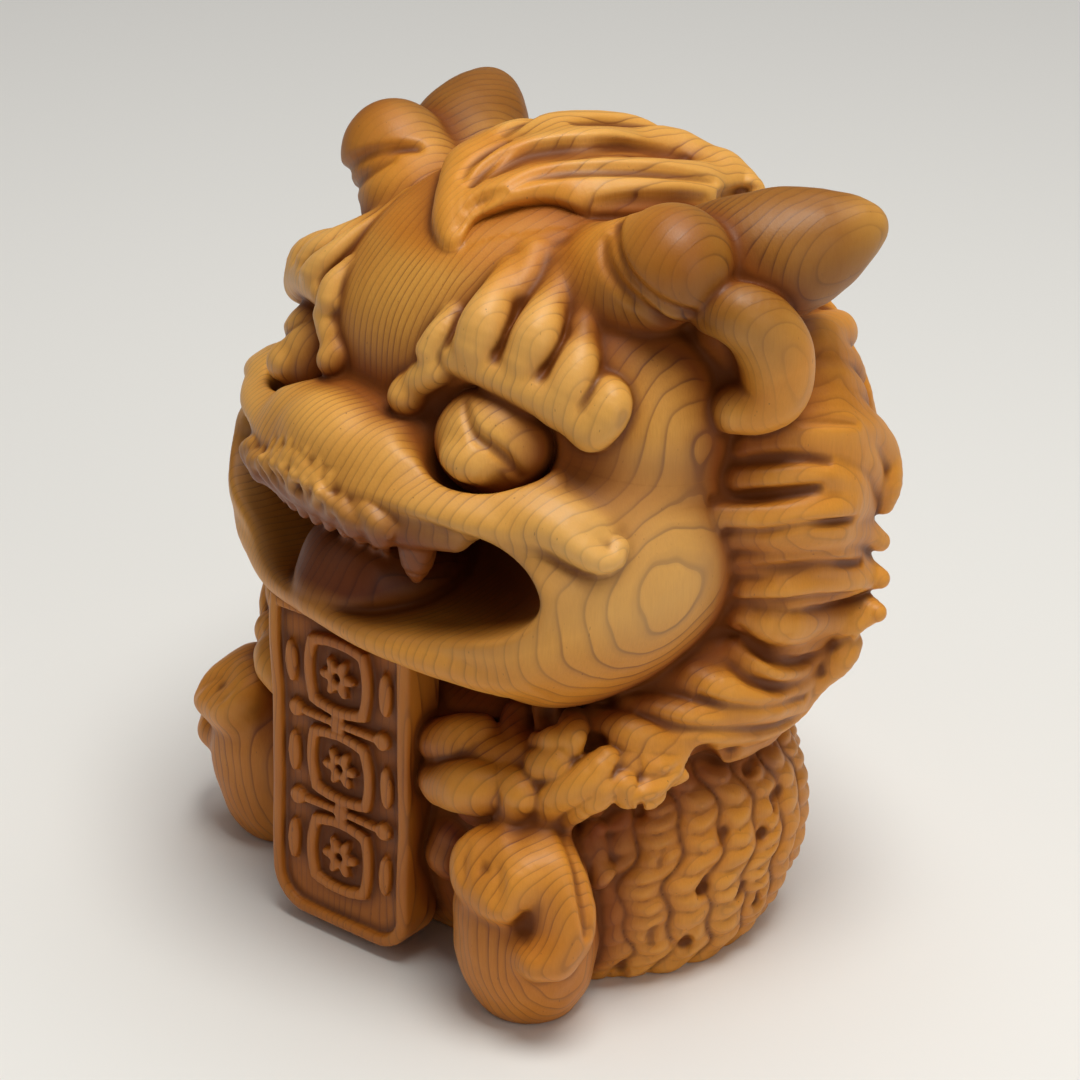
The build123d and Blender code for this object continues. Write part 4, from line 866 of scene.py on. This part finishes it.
# ------------------------------------------------------------------ wood
def wood():
    m = bpy.data.materials.new('carved_wood')
    m.use_nodes = True
    nt = m.node_tree
    nt.nodes.clear()

    def nd(kind, **kw):
        n = nt.nodes.new(kind)
        for k, v in kw.items():
            setattr(n, k, v)
        return n

    def ln(a, b):
        nt.links.new(a, b)

    def math_(op, a, b=None, c=None):
        n = nd('ShaderNodeMath', operation=op)
        for i, v in enumerate((a, b, c)):
            if v is None:
                continue
            if isinstance(v, (int, float)):
                n.inputs[i].default_value = v
            else:
                ln(v, n.inputs[i])
        return n.outputs[0]

    def ramp(fac, stops, interp='LINEAR'):
        n = nd('ShaderNodeValToRGB')
        n.color_ramp.interpolation = interp
        el = n.color_ramp.elements
        while len(el) < len(stops):
            el.new(0.5)
        for e, (p, c) in zip(el, stops):
            e.position = p
            e.color = (*c, 1) if len(c) == 3 else c
        ln(fac, n.inputs['Fac'])
        return n

    def mix(fac, a, b, blend='MIX'):
        n = nd('ShaderNodeMix', data_type='RGBA', blend_type=blend)
        n.clamp_factor = True
        for sock, v in ((n.inputs['Factor'], fac), (n.inputs['A'], a), (n.inputs['B'], b)):
            if isinstance(v, (int, float)):
                sock.default_value = v
            elif isinstance(v, tuple):
                sock.default_value = (*v, 1)
            else:
                ln(v, sock)
        return n.outputs['Result']

    def noise(vec, scale, detail=2.0, rough_=0.5, dist=0.0):
        n = nd('ShaderNodeTexNoise')
        n.inputs['Scale'].default_value = scale
        n.inputs['Detail'].default_value = detail
        n.inputs['Roughness'].default_value = rough_
        n.inputs['Distortion'].default_value = dist
        ln(vec, n.inputs['Vector'])
        return n.outputs['Fac']

    def mapped(vec, loc=(0, 0, 0), scale=(1, 1, 1), rot=(0, 0, 0)):
        n = nd('ShaderNodeMapping')
        n.inputs['Location'].default_value = loc
        n.inputs['Rotation'].default_value = rot
        n.inputs['Scale'].default_value = scale
        ln(vec, n.inputs['Vector'])
        return n.outputs['Vector']

    tc = nd('ShaderNodeTexCoord')
    P = mapped(tc.outputs['Object'], scale=(1000, 1000, 1000))          # millimetres
    sep = nd('ShaderNodeSeparateXYZ')
    ln(P, sep.inputs[0])
    x, y, z = sep.outputs
    # growth rings: shells about a pith well off to the right of the block
    big = noise(P, 0.045, 2.0, 0.5)
    mid = noise(mapped(P, scale=(1, 1, 0.45)), 0.16, 2.0, 0.5)
    dx = math_('ADD', x, 95.0)
    dy = math_('MULTIPLY', math_('ADD', y, -6.0), 0.72)
    dz = math_('MULTIPLY', math_('ADD', z, -38.0), 0.20)
    rr = math_('SQRT', math_('ADD', math_('ADD', math_('MULTIPLY', dx, dx), math_('MULTIPLY', dy, dy)), math_('MULTIPLY', dz, dz)))
    rr = math_('ADD', rr, math_('MULTIPLY', big, 5.0))
    rr = math_('ADD', rr, math_('MULTIPLY', mid, 0.8))
    width_var = noise(mapped(P, scale=(1, 0.15, 0.1)), 0.10, 1.0, 0.5)
    rr2 = math_('ADD', rr, math_('MULTIPLY', width_var, 5.0))
    ph = math_('FRACT', math_('MULTIPLY_ADD', rr2, 1.12, 0.45))
    # early wood pale, late wood a thin dark line with a soft inner side
    late = ramp(ph, [(0.0, (0.25,) * 3), (0.06, (0.0,) * 3), (0.62, (0.04,) * 3), (0.84, (0.36,) * 3), (0.94, (1.0,) * 3), (0.985, (0.85,) * 3), (1.0, (0.25,) * 3)])
    vary = noise(mapped(P, scale=(0.6, 0.2, 0.2)), 0.35, 2.0, 0.6)
    late_s = math_('MULTIPLY', late.outputs['Color'], math_('MULTIPLY_ADD', vary, 1.9, -0.06))
    # fibres along the grain
    fib = noise(mapped(P, scale=(6.0, 6.0, 0.35)), 1.0, 3.0, 0.65)
    blot = noise(P, 0.07, 3.0, 0.55)
    fleck = noise(mapped(P, scale=(3.2, 3.2, 1.1)), 1.0, 1.0, 0.5)

    # hollow and edge measures, for painted shade in the cuts and painted highlight on the edges
    cut = nd('ShaderNodeAttribute', attribute_name='cut').outputs['Fac']
    fold = nd('ShaderNodeAttribute', attribute_name='fold').outputs['Fac']
    shade = nd('ShaderNodeAttribute', attribute_name='shade').outputs['Fac']

    base = ramp(blot, [(0.30, (0.550, 0.228, 0.024)), (0.52, (0.640, 0.290, 0.040)), (0.72, (0.710, 0.352, 0.062))]).outputs['Color']
    fibc = ramp(fib, [(0.30, (0.78, 0.70, 0.60)), (0.60, (1.0, 1.0, 1.0))]).outputs['Color']
    base = mix(0.45, base, fibc, 'MULTIPLY')
    # the rings read clearly on the plain masses and get lost in the finely cut mane and fleece
    busy = math_('MULTIPLY', math_('MULTIPLY_ADD', y, 0.2, 0.2), math_('MULTIPLY_ADD', z, -0.25, 17.5))
    busy = math_('MAXIMUM', math_('MINIMUM', busy, 1.0), 0.0)
    low = math_('MULTIPLY', math_('MAXIMUM', math_('MULTIPLY_ADD', y, 0.25, 2.2), 0.0), math_('MAXIMUM', math_('MULTIPLY_ADD', z, -0.3, 9.5), 0.0))
    busy = math_('MAXIMUM', busy, math_('MINIMUM', low, 1.0))
    ring = math_('MULTIPLY', late_s, math_('MULTIPLY_ADD', busy, -0.50, 0.92))
    col = mix(ring, base, (0.220, 0.070, 0.012))
    # polish wears the sharp ridges pale, and a painted highlight lightens them further
    wear_and_highlight = ramp(math_('MULTIPLY', fold, -1.0), [(0.06, (0.0,) * 3), (0.30, (1.0,) * 3)]).outputs['Color']
    col = mix(math_('MULTIPLY', wear_and_highlight, 0.36), col, (0.840, 0.460, 0.120))
    # painted highlight lightens the broad swells, such as the cheeks and brows
    painted_broad_highlight = ramp(math_('MULTIPLY', shade, -1.0), [(0.04, (0.0,) * 3), (0.24, (1.0,) * 3)]).outputs['Color']
    col = mix(math_('MULTIPLY', painted_broad_highlight, 0.16), col, (0.860, 0.480, 0.130))
    # warmer and browner behind and below than on the face
    under = ramp(math_('MAXIMUM', busy, math_('MULTIPLY_ADD', z, -0.12, 5.3)), [(0.0, (0.0,) * 3), (1.0, (1.0,) * 3)]).outputs['Color']
    col = mix(under, col, mix(1.0, col, (0.95, 0.78, 0.46), 'MULTIPLY'))

    def blob(ax_, cx, cy, cz, rx, ry, rz):
        q = None
        for v, c_, r_ in ((ax_, cx, rx), (y, cy, ry), (z, cz, rz)):
            d_ = math_('MULTIPLY', math_('SUBTRACT', v, c_), 1.0 / r_)
            d_ = math_('MULTIPLY', d_, d_)
            q = d_ if q is None else math_('ADD', q, d_)
        q = math_('ADD', q, math_('MULTIPLY_ADD', blot, 0.8, -0.4))
        return ramp(math_('MULTIPLY', q, 0.5), [(0.25, (1.0,) * 3), (0.75, (0.0,) * 3)]).outputs['Color']
    ax_ = math_('ABSOLUTE', x)
    # painted highlight: paler patches over the cheek and the brow
    col = mix(math_('MULTIPLY', blob(ax_, 26.0, -9.0, 49.0, 8.5, 10.0, 8.5), 0.34), col, (0.860, 0.520, 0.180))
    col = mix(math_('MULTIPLY', blob(ax_, 17.0, -18.0, 65.0, 11.0, 8.0, 6.0), 0.22), col, (0.860, 0.500, 0.160))
    # darker wood in the antlers, with painted shade on them as well
    col = mix(blob(ax_, 25.0, 5.0, 74.0, 10.0, 15.0, 9.0), col, mix(1.0, col, (0.44, 0.34, 0.18), 'MULTIPLY'))
    # painted shade in the mouth, together with some oil darkening
    col = mix(blob(ax_, 0.0, -22.0, 45.0, 25.0, 17.0, 6.5), col, mix(1.0, col, (0.30, 0.15, 0.08), 'MULTIPLY'))
    # painted shade low on the front, over the plaque and chest under the head
    col = mix(blob(ax_, 0.0, -22.0, 16.0, 13.0, 8.0, 24.0), col, mix(1.0, col, (0.72, 0.56, 0.44), 'MULTIPLY'))
    # painted shade round the near hind foot
    col = mix(blob(ax_, 20.0, -17.0, 8.0, 12.0, 10.0, 13.0), col, mix(1.0, col, (0.86, 0.74, 0.60), 'MULTIPLY'))
    # painted shade: the broad hollows, the folds and the fine cuts darken to a deep red brown
    wide = ramp(math_('ADD', shade, 0.14), [(0.0, (0.0,) * 3), (0.42, (1.0,) * 3)]).outputs['Color']
    col = mix(wide, col, mix(1.0, col, (0.42, 0.22, 0.10), 'MULTIPLY'), 'MIX')
    fold_shade_mask = ramp(math_('ADD', fold, 0.06), [(0.02, (0.0,) * 3), (0.34, (1.0,) * 3)]).outputs['Color']
    col = mix(math_('MULTIPLY', fold_shade_mask, 0.85), col, (0.270, 0.074, 0.010), 'MIX')
    deep = ramp(math_('ADD', cut, 0.02), [(0.05, (0.0,) * 3), (0.26, (1.0,) * 3)]).outputs['Color']
    col = mix(math_('MULTIPLY', deep, 0.85), col, (0.130, 0.032, 0.004), 'MIX')
    # dark flecks in the grain
    spk = ramp(fleck, [(0.0, (1.0,) * 3), (0.20, (1.0,) * 3), (0.24, (0.0,) * 3)]).outputs['Color']
    col = mix(math_('MULTIPLY', spk, 0.5), col, (0.12, 0.045, 0.015))

    bs = nd('ShaderNodeBsdfPrincipled')
    ln(col, bs.inputs['Base Color'])
    ro = math_('ADD', math_('MULTIPLY', late_s, -0.06), 0.46)
    ro = math_('ADD', ro, math_('MULTIPLY', wide, 0.2))
    ln(ro, bs.inputs['Roughness'])
    ln(math_('MULTIPLY_ADD', fold_shade_mask, -0.24, 0.34), bs.inputs['Specular IOR Level'])
    bs.inputs['Coat Weight'].default_value = 0.05
    bs.inputs['Coat Roughness'].default_value = 0.34
    bs.inputs['Subsurface Weight'].default_value = 0.06
    bs.inputs['Subsurface Radius'].default_value = (0.0016, 0.0007, 0.0003)
    bs.inputs['Subsurface Scale'].default_value = 1.0
    # raised fibres, rings and small tool marks
    hgt = math_('ADD', math_('MULTIPLY', fib, 0.45), math_('MULTIPLY', late_s, 0.35))
    hgt = math_('ADD', hgt, math_('MULTIPLY', noise(P, 1.3, 3.0, 0.6), 0.5))
    bp = nd('ShaderNodeBump')
    bp.inputs['Strength'].default_value = 0.28
    bp.inputs['Distance'].default_value = 0.00012
    ln(hgt, bp.inputs['Height'])
    ln(bp.outputs['Normal'], bs.inputs['Normal'])
    out = nd('ShaderNodeOutputMaterial')
    ln(bs.outputs['BSDF'], out.inputs['Surface'])
    return m


WOOD = wood()

MIDLINE = ('head', 'body', 'lower_jaw', 'tongue', 'upper_lip', 'nose', 'back_mane', 'tail')
for name in NODES:
    A, sl = piece_field(name)
    o = np.array([work.f.g.ax[i][work.f.r[i][0] + sl[i].start] for i in range(3)], float)
    if name in MIDLINE:
        nx = A.shape[0]
        A = np.concatenate([A[::-1], A], 0)
        o[0] = -(nx - 0.5) * H
        P, Q = isosurface(A, o)
        P, Q = lighten(*no_crumbs(P, Q))
        make_object('wood_' + name, P, Q, WOOD, [name])
    else:
        P, Q = isosurface(A, o)
        P, Q = lighten(*no_crumbs(P, Q))
        make_object('wood_' + name, P, Q, WOOD, [name])
        R = P * np.array([-1, 1, 1])
        make_object('wood_' + name.replace('left', 'right'), R, Q[:, ::-1], WOOD, [name.replace('left', 'right')])
    print('piece', name, len(Q))

# the crest keeps to the shared surface above its own sheet and sinks beside it
half = np.concatenate([m1[::-1], m1], 0)[crest_at]
reg = np.maximum(crest_d - np.minimum(half, 3.0), 0)
A = whole[crest_at] + F(0.35) * reg + F(2.0) * np.maximum(reg - F(0.4), 0)
P, Q = isosurface(A, O_FULL + np.array([s.start for s in crest_at]) * H)
P, Q = lighten(*no_crumbs(P, Q))
make_object('wood_hair_crest', P, Q, WOOD, ['hair_crest'])
print('piece hair_crest', len(Q))

i0, i1, j0, j1, k0, k1 = tab_box
P, Q = isosurface(tab_d, np.array([O_FULL[0] + i0 * H, g.o[1], g.o[2]]))
P, Q = lighten(*no_crumbs(P, Q))
make_object('wood_plaque', P, Q, WOOD, ['plaque'])
print('piece plaque', len(Q))

# ------------------------------------------------------------------ floor, light, camera
def plain(name, rgb, rough_=0.9):
    m = bpy.data.materials.new(name)
    m.use_nodes = True
    b = m.node_tree.nodes['Principled BSDF']
    b.inputs['Base Color'].default_value = (*rgb, 1)
    b.inputs['Roughness'].default_value = rough_
    b.inputs['Specular IOR Level'].default_value = 0.1
    return m


fm = bpy.data.meshes.new('floor')
s_ = 3.0
fm.from_pydata([(-s_, -s_, 0), (s_, -s_, 0), (s_, s_, 0), (-s_, s_, 0)], [], [(0, 1, 2, 3)])
fm.materials.append(plain('floor_white', (0.82, 0.82, 0.815)))
floor = bpy.data.objects.new('floor', fm)
bpy.context.collection.objects.link(floor)

world = bpy.data.worlds.new('studio')
bpy.context.scene.world = world
world.use_nodes = True
world.node_tree.nodes['Background'].inputs['Color'].default_value = (1.0, 0.96, 0.90, 1)
world.node_tree.nodes['Background'].inputs['Strength'].default_value = 0.15


def area(name, pos, target, size, power, color=(1, 1, 1)):
    L = bpy.data.lights.new(name, 'AREA')
    L.shape = 'DISK'
    L.size = size
    L.energy = power
    L.color = color
    ob = bpy.data.objects.new(name, L)
    ob.location = pos
    d = Vector(target) - Vector(pos)
    ob.rotation_euler = d.to_track_quat('-Z', 'Y').to_euler()
    bpy.context.collection.objects.link(ob)


area('key', (0.11, -0.02, 0.52), (0, 0, 0.05), 0.24, 1.50, (1.0, 0.975, 0.90))
area('above', (0.0, 0.25, 1.10), (0, 0.1, 0.0), 1.2, 5.5, (1.0, 0.99, 0.97))
area('side', (0.40, 0.00, 0.20), (0, 0, 0.045), 0.24, 0.24, (1.0, 0.96, 0.88))
area('front', (-0.10, -0.36, 0.30), (0, 0, 0.04), 0.30, 0.07, (1.0, 0.98, 0.95))

# camera at the recorded viewing angle: azimuth 51.5, elevation 24.5, small roll
az, el, roll, dist, focal_px = math.radians(51.5), math.radians(24.5), math.radians(1.35), 310.0, 3137.0
back = Vector((math.sin(az) * math.cos(el), -math.cos(az) * math.cos(el), math.sin(el)))
right = Vector((math.cos(az), math.sin(az), 0))
up = back.cross(right)
R_ = right * math.cos(roll) + up * math.sin(roll)
U_ = -right * math.sin(roll) + up * math.cos(roll)
C_ = (Vector((0, SHIFT_Y, 40)) + back * dist) * 0.001
cam = bpy.data.cameras.new('camera')
cam.sensor_width = 36.0
cam.lens = focal_px / 1080.0 * 36.0
cam.shift_x = (540.0 - 530.0) / 1080.0
cam.shift_y = (516.0 - 540.0) / 1080.0
cam.clip_start = 0.01
cam.clip_end = 20.0
co_ = bpy.data.objects.new('camera', cam)
co_.matrix_world = Matrix(((R_.x, U_.x, back.x, C_.x), (R_.y, U_.y, back.y, C_.y), (R_.z, U_.z, back.z, C_.z), (0, 0, 0, 1)))
bpy.context.collection.objects.link(co_)
bpy.context.scene.camera = co_
bpy.context.scene.view_settings.view_transform = 'Standard'
bpy.context.scene.view_settings.look = 'None'
